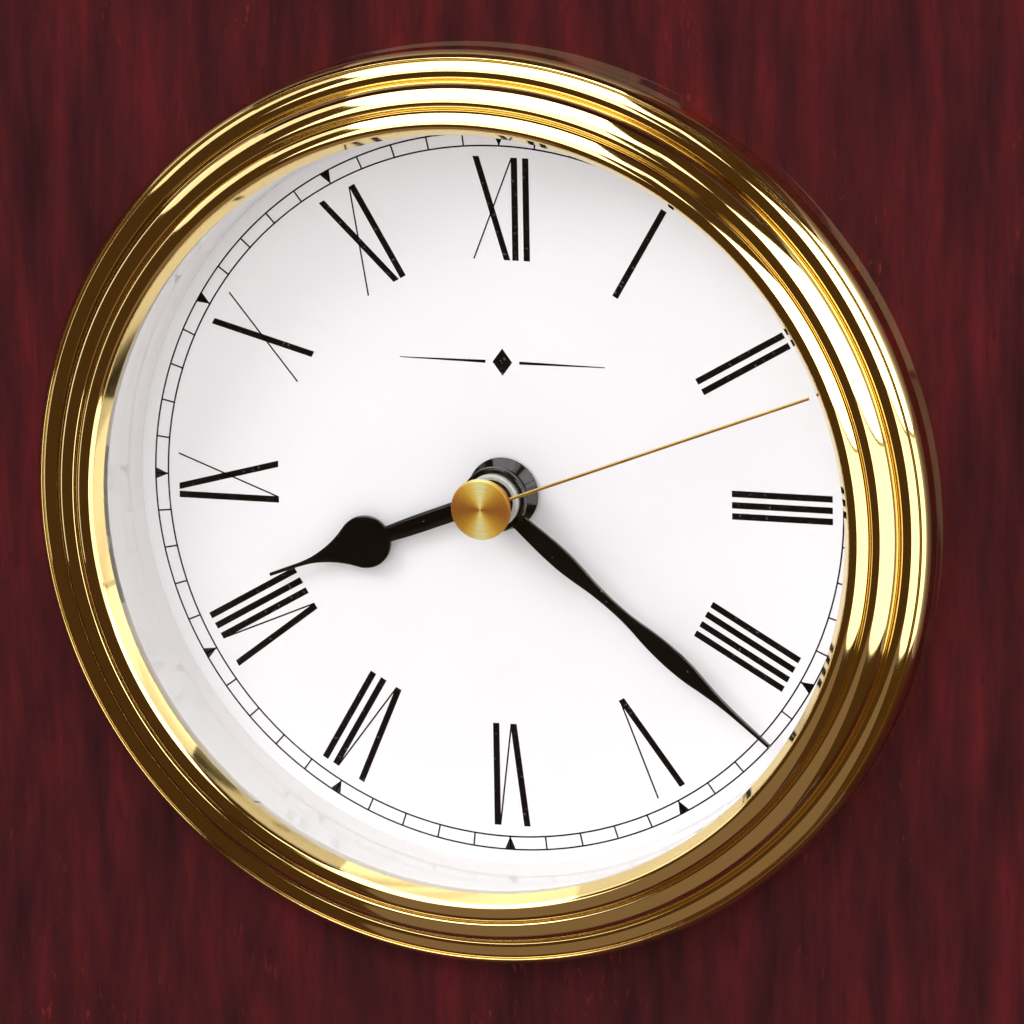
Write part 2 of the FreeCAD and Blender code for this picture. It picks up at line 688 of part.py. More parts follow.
def minute_hand():
    """Leaf with a slight swell near the hub and a long one towards the needle point."""
    length = 39.6
    swell = ((1.1, 8.5), (0.92, 12.0), (0.51, 17.0))
    leaf = ((1.06, 25.0), (0.69, 30.0), (0.3, 34.0), (0.17, length))
    half = [(0.0, 0.0), (0.75, 0.0), (0.8, 3.0), Curve(swell + leaf), (0.0, length)]
    hub = turned([(0.0, 3.1), (3.8, 3.1), (4.0, 3.3), (4.0, 3.7), (3.8, 3.9), (0.0, 3.9)])
    hand = hub.fuse(blade(half, MINUTE_BLADE)).cut(disc(CANNON_R, 2.0, 5.0))
    return spun(hand, MINUTE_ANGLE)


def hand_nut():
    """Open round nut that clamps the minute hand, countersunk round the seconds arbor."""
    top = MINUTE_BLADE[1] + 0.8
    return turned([(CANNON_R, MINUTE_BLADE[1]), (3.2, MINUTE_BLADE[1]), (3.2, top - 0.15), (3.05, top),
                   (2.3, top), (CANNON_R, top - 0.5)])


def second_hand():
    """Fine baton pressed on the seconds arbor by a short pipe."""
    length = 39.2
    half = [(0.0, 0.0), (0.175, 0.0), (0.15, length), (0.0, length)]
    pipe_low = 5.2
    pipe = disc(1.2, pipe_low, SECOND_BLADE[1])
    bore = disc(SECOND_ARBOR_R, pipe_low, SECOND_BLADE[0])
    return spun(pipe.fuse(blade(half, SECOND_BLADE)).cut(bore), SECOND_ANGLE)


def second_hand_cap():
    """Turned button over the arbor's end, its rims chamfered."""
    radius = 3.3
    chamfer = 0.15
    low = SECOND_BLADE[1]
    high = low + 0.75
    return turned([(0.0, low), (radius - chamfer, low), (radius, low + chamfer), (radius, high - chamfer),
                   (radius - chamfer, high), (0.0, high)])


def make_hands():
    save_insert("hour_hand", hour_hand())
    save_insert("minute_hand", minute_hand())
    save_insert("hand_nut", hand_nut())
    save_insert("second_hand", second_hand())
    save_insert("second_hand_cap", second_hand_cap())


# ---- Gear train ---------------------------------------------------------------------------------------

def gear(teeth, module, span, towards=None, away=None, at=(0.0, 0.0)):
    """Spur gear with backlash; a tooth points towards one direction, or a gap faces the other."""
    pitch_r = module * teeth / 2
    step = 360.0 / teeth
    first = towards if towards is not None else away + step / 2
    root_r = pitch_r - DEDENDUM * module
    tip_r = pitch_r + ADDENDUM * module
    tooth = ((root_r, -TOOTH_ROOT), (tip_r, -TOOTH_TIP), (tip_r, TOOTH_TIP), (root_r, TOOTH_ROOT))
    corners = []
    for k in range(teeth):
        for radius, share in tooth:
            angle = math.radians(first + (k + share) * step)
            corners.append((at[0] + radius * math.cos(angle), at[1] + radius * math.sin(angle)))
    return prism(corners, *span)


def level(low):
    """Span of a wheel whose back face is at this height."""
    return (low, low + WHEEL_T)


def on_arbor(parts, at, span, radius=ARBOR_R):
    """Wheel and pinion fused on their arbor."""
    return disc(radius, span[0], span[1], at).fuse(parts)


def seconds_wheel():
    wheel = gear(SECONDS_TEETH, SECONDS_MODULE, level(SECONDS_LEVEL), towards=90.0)
    pinion_span = (THIRD_LEVEL - AIR, THIRD_LEVEL + WHEEL_T + AIR)
    pinion = gear(PINION, THIRD_MODULE, pinion_span, towards=180.0)
    return on_arbor([wheel, pinion], (0.0, 0.0), (INNER_BACK + AIR, SECOND_BLADE[0]), SECOND_ARBOR_R)


def intermediate_wheel():
    at = INTERMEDIATE_AT
    wheel = gear(INTERMEDIATE_TEETH, ROTOR_MODULE, level(INTERMEDIATE_LEVEL), towards=ROTOR_BEARING, at=at)
    pinion_span = (INTERMEDIATE_LEVEL + WHEEL_T, SECONDS_LEVEL + WHEEL_T + AIR)
    pinion = gear(PINION, SECONDS_MODULE, pinion_span, away=-90.0, at=at)
    return on_arbor([wheel, pinion], at, (INNER_BACK + AIR, PLATE[1] - AIR / 2))


def rotor():
    """Magnet disc and steel pinion of the stepping motor."""
    magnet = disc(MAGNET_R, *MAGNET, ROTOR_AT)
    pinion_span = (INTERMEDIATE_LEVEL - AIR, MAGNET[0])
    pinion = gear(PINION, ROTOR_MODULE, pinion_span, away=ROTOR_BEARING + 180.0, at=ROTOR_AT)
    return on_arbor([magnet, pinion], ROTOR_AT, (INNER_BACK + AIR, PLATE[1] - AIR / 2))


def third_wheel():
    wheel = gear(THIRD_TEETH, THIRD_MODULE, level(THIRD_LEVEL), away=0.0, at=THIRD_AT)
    pinion_span = (THIRD_LEVEL + WHEEL_T, CENTRE_LEVEL + WHEEL_T + AIR)
    pinion = gear(PINION, CENTRE_MODULE, pinion_span, towards=0.0, at=THIRD_AT)
    return on_arbor([wheel, pinion], THIRD_AT, (INNER_BACK + AIR, INNER_FRONT - AIR))


def centre_wheel():
    """Wheel that carries the cannon pinion by friction, so that the hands can be set."""
    wheel = gear(CENTRE_TEETH, CENTRE_MODULE, level(CENTRE_LEVEL), away=180.0)
    return wheel.cut(disc(CANNON_R + PLAY, *level(CENTRE_LEVEL)))


def cannon_pinion():
    """Pipe of the minute hand, with the pinion that drives the motion work."""
    pinion = gear(CANNON_TEETH, MOTION_MODULE, (MINUTE_LEVEL - AIR, MINUTE_LEVEL + WHEEL_T + AIR / 2),
                  towards=0.0)
    top = MINUTE_BLADE[1] + 0.3
    pipe = disc(CANNON_R, PLATE[1] + AIR / 2, top)
    return pipe.fuse(pinion).cut(disc(SECOND_ARBOR_R + PLAY, PLATE[0], top))


def minute_wheel():
    wheel_span = level(MINUTE_LEVEL)
    pinion_span = (wheel_span[1], HOUR_LEVEL + WHEEL_T + AIR)
    wheel = gear(MINUTE_TEETH, MOTION_MODULE, wheel_span, away=180.0, at=MINUTE_AT)
    pinion = gear(MINUTE_PINION, HOUR_MODULE, pinion_span, towards=180.0, at=MINUTE_AT)
    return wheel.fuse(pinion).cut(disc(POST_BORE + PLAY, wheel_span[0], pinion_span[1], MINUTE_AT))


def hour_wheel():
    wheel = gear(HOUR_TEETH, HOUR_MODULE, level(HOUR_LEVEL), away=0.0)
    top = HOUR_BLADE[1] + 0.2
    return disc(HOUR_PIPE_R, HOUR_LEVEL, top).fuse(wheel).cut(disc(CANNON_R + PLAY, HOUR_LEVEL, top))


def setting_knob():
    """Fluted knob behind the movement, its shaft and the gear that turns the motion work."""
    knob_r = 6.5
    flutes = 20
    knob_span = (MOVEMENT_BACK - 3.6, MOVEMENT_BACK - 0.4)
    knob = disc(knob_r, *knob_span, SETTING_AT)
    angles = [2 * math.pi * k / flutes for k in range(flutes)]
    rim = [(SETTING_AT[0] + knob_r * math.cos(a), SETTING_AT[1] + knob_r * math.sin(a)) for a in angles]
    cutters = [disc(0.5, *knob_span, at) for at in rim]
    wheel = gear(SETTING_TEETH, MOTION_MODULE, level(MINUTE_LEVEL), towards=180.0, at=SETTING_AT)
    shaft_span = (knob_span[1], INNER_FRONT - AIR)
    return on_arbor([wheel, knob.cut(cutters)], SETTING_AT, shaft_span, SETTING_SHAFT_R)


def make_train():
    save_insert("seconds_wheel", seconds_wheel())
    save_insert("intermediate_wheel", intermediate_wheel())
    save_insert("rotor", rotor())
    save_insert("third_wheel", third_wheel())
    save_insert("centre_wheel", centre_wheel())
    save_insert("cannon_pinion", cannon_pinion())
    save_insert("minute_wheel", minute_wheel())
    save_insert("hour_wheel", hour_wheel())
    save_insert("setting_knob", setting_knob())


# ---- Movement case, motor and battery -----------------------------------------------------------------

def movement_screw(at):
    """Pan-head screw that clamps both shells to the cup's floor."""
    tip = -DIAL_T - 0.7
    rim = MOVEMENT_BACK - 0.3
    steps = [(0.0, tip), (SCREW_R, tip), (SCREW_R, MOVEMENT_BACK), (1.9, MOVEMENT_BACK), (1.9, rim),
             dome(1.9, rim, rim - 0.6)]
    return moved(turned(steps), *at)


def shell(low, high):
    half = (-MOVEMENT_HALF, MOVEMENT_HALF)
    return soft_block(half, half, (low, high), MOVEMENT_CORNER)


def shell_inside(low, high):
    half = (-INNER_HALF, INNER_HALF)
    return soft_block(half, half, (low, high), MOVEMENT_CORNER - SHELL_WALL)


def partition(low, high):
    return block((-INNER_HALF, INNER_HALF), (PARTITION_Y, PARTITION_Y + PARTITION_T), (low, high))


def screw_posts(low, high):
    return [disc(SCREW_POST_R, low, high, at) for at in SCREW_POSTS]


def bearing(at, pivot_r, low, high):
    """Small boss with a hole that carries a pivot."""
    bore = pivot_r + PLAY
    return tube(bore, bore + BEARING_WALL, low, high, at)


def movement_front_shell():
    """Front half: floor with the stem, the minute wheel's post and two bearings."""
    stem_end = 0.3
    body = shell(SHELL_SPLIT, MOVEMENT_FRONT).cut(shell_inside(SHELL_SPLIT, INNER_FRONT))
    stem = disc(STEM_R, MOVEMENT_FRONT, stem_end)
    minute_post = disc(POST_BORE, MINUTE_LEVEL - AIR, INNER_FRONT, MINUTE_AT)
    bearings = [bearing(THIRD_AT, ARBOR_R, INNER_FRONT - 1.3, INNER_FRONT),
                bearing(SETTING_AT, SETTING_SHAFT_R, INNER_FRONT - 1.5, INNER_FRONT)]
    inside = [partition(SHELL_SPLIT, INNER_FRONT), stem, minute_post]
    body = body.fuse(inside + bearings + screw_posts(SHELL_SPLIT, INNER_FRONT)).removeSplitter()
    pipe_hole = disc(HOUR_PIPE_R + PLAY, INNER_FRONT - 1.0, stem_end)
    return body.cut([pipe_hole] + [movement_screw(at) for at in SCREW_POSTS])


def movement_back_shell():
    """Back half: an open battery bay below, bearings and supports above."""
    body = shell(MOVEMENT_BACK, SHELL_SPLIT).cut(shell_inside(INNER_BACK, SHELL_SPLIT))
    rest_r = 1.2
    stator_rests = [disc(rest_r, INNER_BACK, STATOR[0], (x, 14.6)) for x in (-12.0, 13.0)]
    board_rests = [disc(rest_r, INNER_BACK, BOARD[0], (-23.5, y)) for y in (2.0, 16.0)]
    bearings = [bearing((0.0, 0.0), SECOND_ARBOR_R, INNER_BACK, -15.2),
                bearing(INTERMEDIATE_AT, ARBOR_R, INNER_BACK, -14.9),
                bearing(ROTOR_AT, ARBOR_R, INNER_BACK, -14.9),
                bearing(THIRD_AT, ARBOR_R, INNER_BACK, -12.0)]
    inside = [partition(INNER_BACK, SHELL_SPLIT)] + stator_rests + board_rests + bearings
    body = body.fuse(inside + screw_posts(INNER_BACK, SHELL_SPLIT)).removeSplitter()
    bay = block((-INNER_HALF, INNER_HALF), (-INNER_HALF, PARTITION_Y), (MOVEMENT_BACK - 1.0, INNER_BACK))
    setting_hole = disc(SETTING_SHAFT_R + PLAY, MOVEMENT_BACK - 1.0, INNER_BACK + 1.0, SETTING_AT)
    return body.cut([bay, setting_hole] + [movement_screw(at) for at in SCREW_POSTS])


def middle_plate():
    """Plate that carries the front pivots of the motor's wheels."""
    plate = soft_block((-21.0, 21.0), (-9.6, 16.0), PLATE, 3.0)
    holes = [disc(radius, PLATE[0] - 1.0, PLATE[1] + 1.0, at) for radius, at in (
        (2.2, (0.0, 0.0)), (1.8, THIRD_AT), (ARBOR_R + PLAY, INTERMEDIATE_AT), (ARBOR_R + PLAY, ROTOR_AT))]
    slot = block((SETTING_AT[0] - 1.7, 22.0), (-1.7, 1.7), (PLATE[0] - 1.0, PLATE[1] + 1.0))
    return plate.cut(holes + [slot, disc(1.7, PLATE[0] - 1.0, PLATE[1] + 1.0, SETTING_AT)])


def stator():
    """Iron plate round the rotor with two arms, and the core bar across them through the coil."""
    arm_out, arm_in, low, high, window = 14.0, 9.6, 12.4, 24.0, 17.0
    steps = [(-arm_out, low), (arm_out, low), (arm_out, high), (arm_in, high), (arm_in, window),
             (-arm_in, window), (-arm_in, high), (-arm_out, high)]
    plate = prism(steps, *STATOR).fuse(disc(5.2, *STATOR, ROTOR_AT))
    return plate.cut(disc(3.5, STATOR[0] - 1, STATOR[1] + 1, ROTOR_AT)).fuse(core_bar()).removeSplitter()


def core_bar():
    return block((-13.6, 13.6), (COIL_Y - 1.5, COIL_Y + 1.5), (STATOR[1], STATOR[1] + 1.2))


def along_coil(shape):
    """Shape drawn about +Z laid along the coil's axis."""
    return moved(laid(shape, V(1, 0, 0)), 0.0, COIL_Y, COIL_Z)


def coil_bobbin():
    flange_t = 0.8
    bobbin = disc(2.1, -COIL_HALF, COIL_HALF).fuse([
        disc(COIL_R, -COIL_HALF, flange_t - COIL_HALF), disc(COIL_R, COIL_HALF - flange_t, COIL_HALF)])
    return along_coil(bobbin.removeSplitter()).cut(core_bar())


def coil_winding():
    half = COIL_HALF - 0.8
    return along_coil(tube(2.1, WINDING_R, -half, half))


def circuit_board():
    """Board with the chip under a drop of resin."""
    drop_r = 2.4
    face = BOARD[1]
    board = block((-25.6, -14.6), (-3.5, 20.0), BOARD)
    resin = turned([(0.0, face), (drop_r, face), dome(drop_r, face, face + 0.8)])
    return board.fuse(moved(resin, -20.5, 12.0)).removeSplitter()


def quartz_crystal():
    """Small metal can that lies on the back of the circuit board."""
    can_r = 0.9
    steps = [(0.0, 0.0), (can_r, 0.0), (can_r, 5.4), Arc((0.7, 5.9), (0.4, 6.0)), (0.0, 6.0)]
    return moved(laid(turned(steps), V(0, 1, 0)), -18.0, 5.0, BOARD[0] - can_r)


def battery():
    """Round cell, with its raised contact on the right."""
    low, high = BATTERY_X
    edge = 0.5
    steps = [(0.0, low), (BATTERY_R - edge, low), (BATTERY_R, low + edge), (BATTERY_R, high - edge),
             (BATTERY_R - edge, high), (2.7, high), (2.7, NUB_END), (0.0, NUB_END)]
    return moved(laid(turned(steps), V(1, 0, 0)), 0.0, BATTERY_Y, BATTERY_Z)


def battery_contacts():
    """Flat contact for the raised end and a bowed leaf for the flat end."""
    width = (BATTERY_Z - 3.5, BATTERY_Z + 3.5)
    wall = INNER_HALF
    flat = block((wall - 0.3, wall), (BATTERY_Y - 5.0, BATTERY_Y + 5.0), width)
    ends = (BATTERY_Y - 5.0, BATTERY_Y + 5.0)
    bow = BATTERY_X[0] - 0.1
    bowed = prism([(-wall, ends[0]), (-wall + 0.3, ends[0]), Arc((bow, BATTERY_Y), (-wall + 0.3, ends[1])),
                   (-wall, ends[1]), Arc((bow - 0.3, BATTERY_Y), (-wall, ends[0]))], *width)
    return flat, bowed


def make_movement():
    save_insert("movement_front_shell", movement_front_shell())
    save_insert("movement_back_shell", movement_back_shell())
    save_insert("movement_screws", *[movement_screw(at) for at in SCREW_POSTS])
    save_insert("middle_plate", middle_plate())
    save_insert("stator", stator())
    save_insert("coil_bobbin", coil_bobbin())
    save_insert("coil_winding", coil_winding())
    save_insert("circuit_board", circuit_board())
    save_insert("quartz_crystal", quartz_crystal())
    save_insert("battery", battery())
    save_insert("battery_contacts", *battery_contacts())


os.makedirs("parts", exist_ok=True)
make_case()
make_handle()
make_door()
make_insert()
make_hands()
make_train()
make_movement()
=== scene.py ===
"""Looks of the carriage clock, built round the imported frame.

Metres in the row frame: the dial faces -Y and +Z is up. Sizes in the classes are millimetres, as a
workshop drawing has them, and turn to metres where a mesh is made. The insert's pieces are drawn in the
dial's own frame, x right, y up and z out of the dial, and a Stand puts them in place.
"""

import json
import logging
import math
from dataclasses import dataclass, field
from enum import Enum
from typing import NamedTuple, Sequence

import bmesh
import bpy
import numpy as np
from mathutils import Matrix, Quaternion, Vector


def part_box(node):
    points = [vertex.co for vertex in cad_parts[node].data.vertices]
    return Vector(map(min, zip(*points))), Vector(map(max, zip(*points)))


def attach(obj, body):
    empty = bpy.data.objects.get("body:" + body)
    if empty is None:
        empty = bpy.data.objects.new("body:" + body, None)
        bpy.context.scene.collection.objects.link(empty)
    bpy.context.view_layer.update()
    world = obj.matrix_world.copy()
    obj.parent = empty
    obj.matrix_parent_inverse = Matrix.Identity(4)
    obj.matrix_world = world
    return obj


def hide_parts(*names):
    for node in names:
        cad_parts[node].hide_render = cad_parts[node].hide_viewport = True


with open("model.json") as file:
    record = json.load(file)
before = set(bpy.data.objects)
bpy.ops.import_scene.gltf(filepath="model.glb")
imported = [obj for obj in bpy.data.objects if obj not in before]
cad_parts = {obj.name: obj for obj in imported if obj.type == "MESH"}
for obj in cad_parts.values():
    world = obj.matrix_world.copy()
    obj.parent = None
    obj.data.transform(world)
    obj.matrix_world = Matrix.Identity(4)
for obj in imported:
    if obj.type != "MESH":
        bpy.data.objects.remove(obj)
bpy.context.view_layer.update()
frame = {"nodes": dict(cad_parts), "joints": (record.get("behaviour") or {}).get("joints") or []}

MM = 0.001
WELD = 2e-7
# Scale at which the wave texture repeats once in a unit: two pi over the 20 built into it.
ONE_BAND = 0.314
LOG = logging.getLogger("carriage_clock")
JOINT_PLACES = {j["name"]: Vector(j["pos_m"]) for j in frame["joints"] if "pos_m" in j}
DIAL_CENTRE = JOINT_PLACES["second_spin"]

Node = bpy.types.Node
Tree = bpy.types.NodeTree
Feed = Node | tuple[Node, str]
Pair = tuple[float, float]


# ---- Outlines and surfaces ------------------------------------------------------------------------------


class Arc(NamedTuple):
    """Round stretch of an outline: a point on it, then its end."""

    through: Pair
    to: Pair


class Stand(Enum):
    """Which way a drawn piece's own axis points in the row frame; the value holds its x, y and z axes."""

    UP = ((1, 0, 0), (0, 1, 0), (0, 0, 1))
    FRONT = ((1, 0, 0), (0, 0, 1), (0, -1, 0))
    BACK = ((0, 0, 1), (1, 0, 0), (0, 1, 0))
    RIGHT = ((0, 1, 0), (0, 0, 1), (1, 0, 0))
    LEFT = ((0, -1, 0), (0, 0, 1), (-1, 0, 0))

    def place(self, points: np.ndarray, at: Sequence[float]) -> np.ndarray:
        """Points drawn in millimetres about the origin, in metres about the point at."""
        return points * MM @ np.array(self.value, float) + np.array(at, float)


@dataclass
class Surface:
    """Points of a surface with its faces, each a row of point numbers."""

    points: np.ndarray
    faces: list[tuple[int, ...]] = field(default_factory=list)

    def with_caps(self, rows: int, columns: int) -> "Surface":
        """Closes the first and last row of a grid with a flat face each."""
        first = tuple(range(columns - 1, -1, -1))
        last = tuple(range((rows - 1) * columns, rows * columns))
        return Surface(self.points, self.faces + [first, last])


def joined(parts: Sequence[Surface]) -> Surface:
    """Several surfaces as one, their point numbers following on."""
    starts = np.cumsum([0] + [len(part.points) for part in parts[:-1]])
    faces = [tuple(i + start for i in face) for part, start in zip(parts, starts) for face in part.faces]
    return Surface(np.concatenate([part.points for part in parts]), faces)


def arc_points(start: Pair, arc: Arc, steps: int) -> np.ndarray:
    """Points along a circle's arc, without its start.

    The centre is where the bisectors of the two chords meet. The angle runs evenly from the start to the
    end by way of the middle point.

    Args:
        start: where the arc begins.
        arc: a point on it and its end.
        steps: number of points.

    Returns:
        An array of steps points.
    """
    a, b, c = (np.array(p, float) for p in (start, arc.through, arc.to))
    chords = 2 * np.array([b - a, c - a])
    squares = np.array([b @ b - a @ a, c @ c - a @ a])
    centre = np.linalg.solve(chords, squares)
    first, middle, last = (math.atan2(*(p - centre)[::-1]) for p in (a, b, c))
    turn = 2 * math.pi
    sweep, half = (last - first) % turn, (middle - first) % turn
    sweep = sweep if half < sweep else sweep - turn
    angles = first + sweep * np.arange(1, steps + 1) / steps
    return centre + np.linalg.norm(a - centre) * np.stack([np.cos(angles), np.sin(angles)], axis=1)


def trace(steps: Sequence[Pair | Arc], fineness: int = 12) -> np.ndarray:
    """Outline through corners and arcs, as points.

    Args:
        steps: corners as pairs, round stretches as Arc.
        fineness: points along each arc.

    Returns:
        An array of points, two numbers each.
    """
    runs = [np.array([steps[0]], float)]
    for step in steps[1:]:
        here = tuple(runs[-1][-1])
        runs.append(arc_points(here, step, fineness) if isinstance(step, Arc) else np.array([step], float))
    return np.concatenate(runs)


def softened(outline: np.ndarray, radius: float, closed: bool = True, steps: int = 4) -> np.ndarray:
    """Outline with its corners rounded.

    Each corner gives way to the parabola that starts and ends a reach away from it on its two sides:
    (1 - s)^2 times the first point, 2s(1 - s) times the corner and s^2 times the second. The reach is the
    radius times the tangent of half the turn, at most two fifths of the shorter side.

    Args:
        outline: points of the outline.
        radius: radius of the rounding.
        closed: whether the last point is joined to the first.
        steps: spans of each rounded corner.

    Returns:
        The points of the rounded outline.
    """
    least_turn = math.radians(17)
    back = np.roll(outline, 1, axis=0) - outline
    ahead = np.roll(outline, -1, axis=0) - outline
    back_length = np.maximum(np.linalg.norm(back, axis=1), 1e-9)
    ahead_length = np.maximum(np.linalg.norm(ahead, axis=1), 1e-9)
    cosine = -np.sum(back * ahead, axis=1) / (back_length * ahead_length)
    turn = np.arccos(np.clip(cosine, -1, 1))
    reach = np.minimum(radius * np.tan(turn / 2), 0.4 * np.minimum(back_length, ahead_length))
    reach[turn < least_turn] = 0
    if not closed:
        reach[[0, -1]] = 0
    first = outline + back * (reach / back_length)[:, None]
    second = outline + ahead * (reach / ahead_length)[:, None]
    s = np.linspace(0, 1, steps + 1)[None, :, None]
    curve = (1 - s) ** 2 * first[:, None] + 2 * s * (1 - s) * outline[:, None] + s**2 * second[:, None]
    points = curve.reshape(-1, 2)
    apart = np.linalg.norm(points - np.roll(points, 1, axis=0), axis=1) > 1e-5
    apart[0] = True
    return points[apart]


def eased(knots: np.ndarray, values: np.ndarray, at: np.ndarray) -> np.ndarray:
    """Smooth curve through the knots.

    A cubic between each two knots, with the slope at a knot the mean of the slopes on its two sides, and
    level where they differ in sign.

    Args:
        knots: places of the knots, rising.
        values: heights of the curve there.
        at: places to work out.

    Returns:
        The heights at those places.
    """
    span = np.diff(knots)
    slope = np.diff(values) / span
    inner = np.where(slope[:-1] * slope[1:] > 0, (slope[:-1] + slope[1:]) / 2, 0.0)
    slopes = np.concatenate([slope[:1], inner, slope[-1:]])
    k = np.clip(np.searchsorted(knots, at) - 1, 0, len(span) - 1)
    t = (at - knots[k]) / span[k]
    rise = (2 * t**3 - 3 * t**2 + 1) * values[k] + (3 * t**2 - 2 * t**3) * values[k + 1]
    return rise + span[k] * ((t**3 - 2 * t**2 + t) * slopes[k] + (t**3 - t**2) * slopes[k + 1])


def grid(points: np.ndarray, round_rows: bool = False, round_columns: bool = False) -> Surface:
    """Surface of four-sided faces on a grid of points.

    Args:
        points: array of rows by columns by three numbers.
        round_rows: whether the last row joins the first.
        round_columns: whether the last column joins the first.

    Returns:
        The surface.
    """
    rows, columns = points.shape[:2]
    number = np.arange(rows * columns).reshape(rows, columns)
    if round_rows:
        number = np.vstack([number, number[:1]])
    if round_columns:
        number = np.hstack([number, number[:, :1]])
    corners = [number[:-1, :-1], number[1:, :-1], number[1:, 1:], number[:-1, 1:]]
    faces = np.stack(corners, axis=-1).reshape(-1, 4)
    return Surface(points.reshape(-1, 3), [tuple(face) for face in faces.tolist()])


def turned(outline: np.ndarray, stand: Stand, at: Sequence[float], segments: int = 96,
           ring: bool = False) -> Surface:
    """Turned piece: each outline point goes round the axis on a circle of its radius at its height.

    Args:
        outline: points of (radius, height) in millimetres, ending on the axis unless it is a ring.
        stand: which way the axis points.
        at: where the drawing's origin lies.
        segments: points round each circle.
        ring: whether the outline closes on itself.

    Returns:
        The surface.
    """
    angle = 2 * math.pi * np.arange(segments) / segments
    radius, height = outline[:, :1], outline[:, 1:]
    points = np.stack([radius * np.cos(angle), radius * np.sin(angle), height + 0 * angle], axis=-1)
    return grid(stand.place(points, at), round_rows=ring, round_columns=True)


def dial_ring(steps: Sequence[Pair | Arc], soft: float, segments: int) -> Surface:
    """Ring turned about the dial's axis, its section drawn by corners and arcs and softened by a radius."""
    return turned(softened(trace(steps), soft), Stand.FRONT, DIAL_CENTRE, segments, ring=True)


def mitred(outline: np.ndarray, half: Vector, corner: float, steps: int = 5) -> Surface:
    """Moulding run round a rectangle.

    Each outline point draws a rectangle set in by its first number from the outer faces, at the height of
    its second, with each corner a quarter circle: the corner's own centre plus the radius along the angle.

    Args:
        outline: points of (inset, height) in millimetres from bottom to top.
        half: half sizes of the outer faces, and the base's height as its z, in metres.
        corner: radius of the softened arris at each mitre, in millimetres.
        steps: spans of each quarter circle.

    Returns:
        The surface, closed below and above.
    """
    quarter = np.linspace(0, math.pi / 2, steps + 1)
    angle = (quarter[None, :] + math.pi / 2 * np.arange(4)[:, None]).ravel()
    side_x = np.repeat([1, -1, -1, 1], steps + 1)
    side_y = np.repeat([1, 1, -1, -1], steps + 1)
    reach_x = half.x / MM - outline[:, :1] - corner
    reach_y = half.y / MM - outline[:, :1] - corner
    points = np.stack([
        side_x * reach_x + corner * np.cos(angle),
        side_y * reach_y + corner * np.sin(angle),
        outline[:, 1:] + 0 * angle,
    ], axis=-1)
    placed = Stand.UP.place(points, (0, 0, half.z))
    return grid(placed, round_columns=True).with_caps(len(outline), len(angle))


def bent_rod(path: np.ndarray, radius: float, stand: Stand, at: Sequence[float], sides: int = 40) -> Surface:
    """Round rod along a path in the drawing's own x, y plane.

    At each path point a circle stands across the path: the point, plus the radius times the cosine along
    the in-plane normal and the sine along z.

    Args:
        path: points of the centre line in millimetres.
        radius: the rod's radius in millimetres.
        stand: how the drawing stands in the row frame.
        at: where its origin lies.
        sides: points round each circle.

    Returns:
        The surface, closed at both ends.
    """
    along = np.gradient(path, axis=0)
    along /= np.linalg.norm(along, axis=1)[:, None]
    angle = 2 * math.pi * np.arange(sides) / sides
    across = radius * np.cos(angle)
    points = np.stack([
        path[:, :1] - along[:, 1:] * across,
        path[:, 1:] + along[:, :1] * across,
        radius * np.sin(angle) + 0 * path[:, :1],
    ], axis=-1)
    return grid(stand.place(points, at), round_columns=True).with_caps(len(path), sides)


def raised(quads: np.ndarray, low: float, high: float) -> Surface:
    """Flat four-cornered patches pulled out of the dial.

    Each patch becomes a thin block: its corners at the low height and again at the high one, with a face
    over each and four between them.

    Args:
        quads: array of patches by four corners by two numbers, in millimetres.
        low: height of the underside.
        high: height of the face.

    Returns:
        The surface, standing on the dial.
    """
    count = len(quads)
    levels = np.broadcast_to(np.array([low, high])[None, :, None, None], (count, 2, 4, 1))
    points = np.concatenate([np.repeat(quads[:, None], 2, axis=1), levels], axis=-1).reshape(-1, 3)
    block = np.array([(3, 2, 1, 0), (4, 5, 6, 7), (0, 1, 5, 4), (1, 2, 6, 5), (2, 3, 7, 6), (3, 0, 4, 7)])
    faces = (block[None] + 8 * np.arange(count)[:, None, None]).reshape(-1, 4)
    return Surface(Stand.FRONT.place(points, DIAL_CENTRE), [tuple(face) for face in faces.tolist()])


def clockwise(points: np.ndarray, degrees: float) -> np.ndarray:
    """Points turned clockwise about the dial's axis, seen from the front; x and y are their first numbers."""
    a = math.radians(degrees)
    turned_xy = points[..., :2] @ np.array([[math.cos(a), -math.sin(a)], [math.sin(a), math.cos(a)]])
    return np.concatenate([turned_xy, points[..., 2:]], axis=-1)


# ---- Finishes -------------------------------------------------------------------------------------------


def linear(code: str) -> tuple[float, float, float, float]:
    """Linear colour of an sRGB hex value such as "#aa5522"."""
    channels = np.array([int(code[i:i + 2], 16) for i in (1, 3, 5)]) / 255
    low, high = channels / 12.92, ((channels + 0.055) / 1.055) ** 2.4
    red, green, blue = np.where(channels <= 0.04045, low, high).tolist()
    return red, green, blue, 1.0


def feed(tree: Tree, target: Node, feeds: dict[str | int, Feed]) -> None:
    """Links what feeds a node's sockets.

    Args:
        tree: the material's nodes.
        target: the node that is fed.
        feeds: by socket name or number, the node whose first output feeds it, or a pair of a node and the
            name of its output.
    """
    for key, source in feeds.items():
        giver, output = source if isinstance(source, tuple) else (source, None)
        given = next(s for s in giver.outputs if s.enabled and output in (None, s.name))
        numbered = isinstance(key, int)
        taken = target.inputs[key] if numbered else next(
            s for s in target.inputs if s.name == key and s.enabled)
        tree.links.new(given, taken)


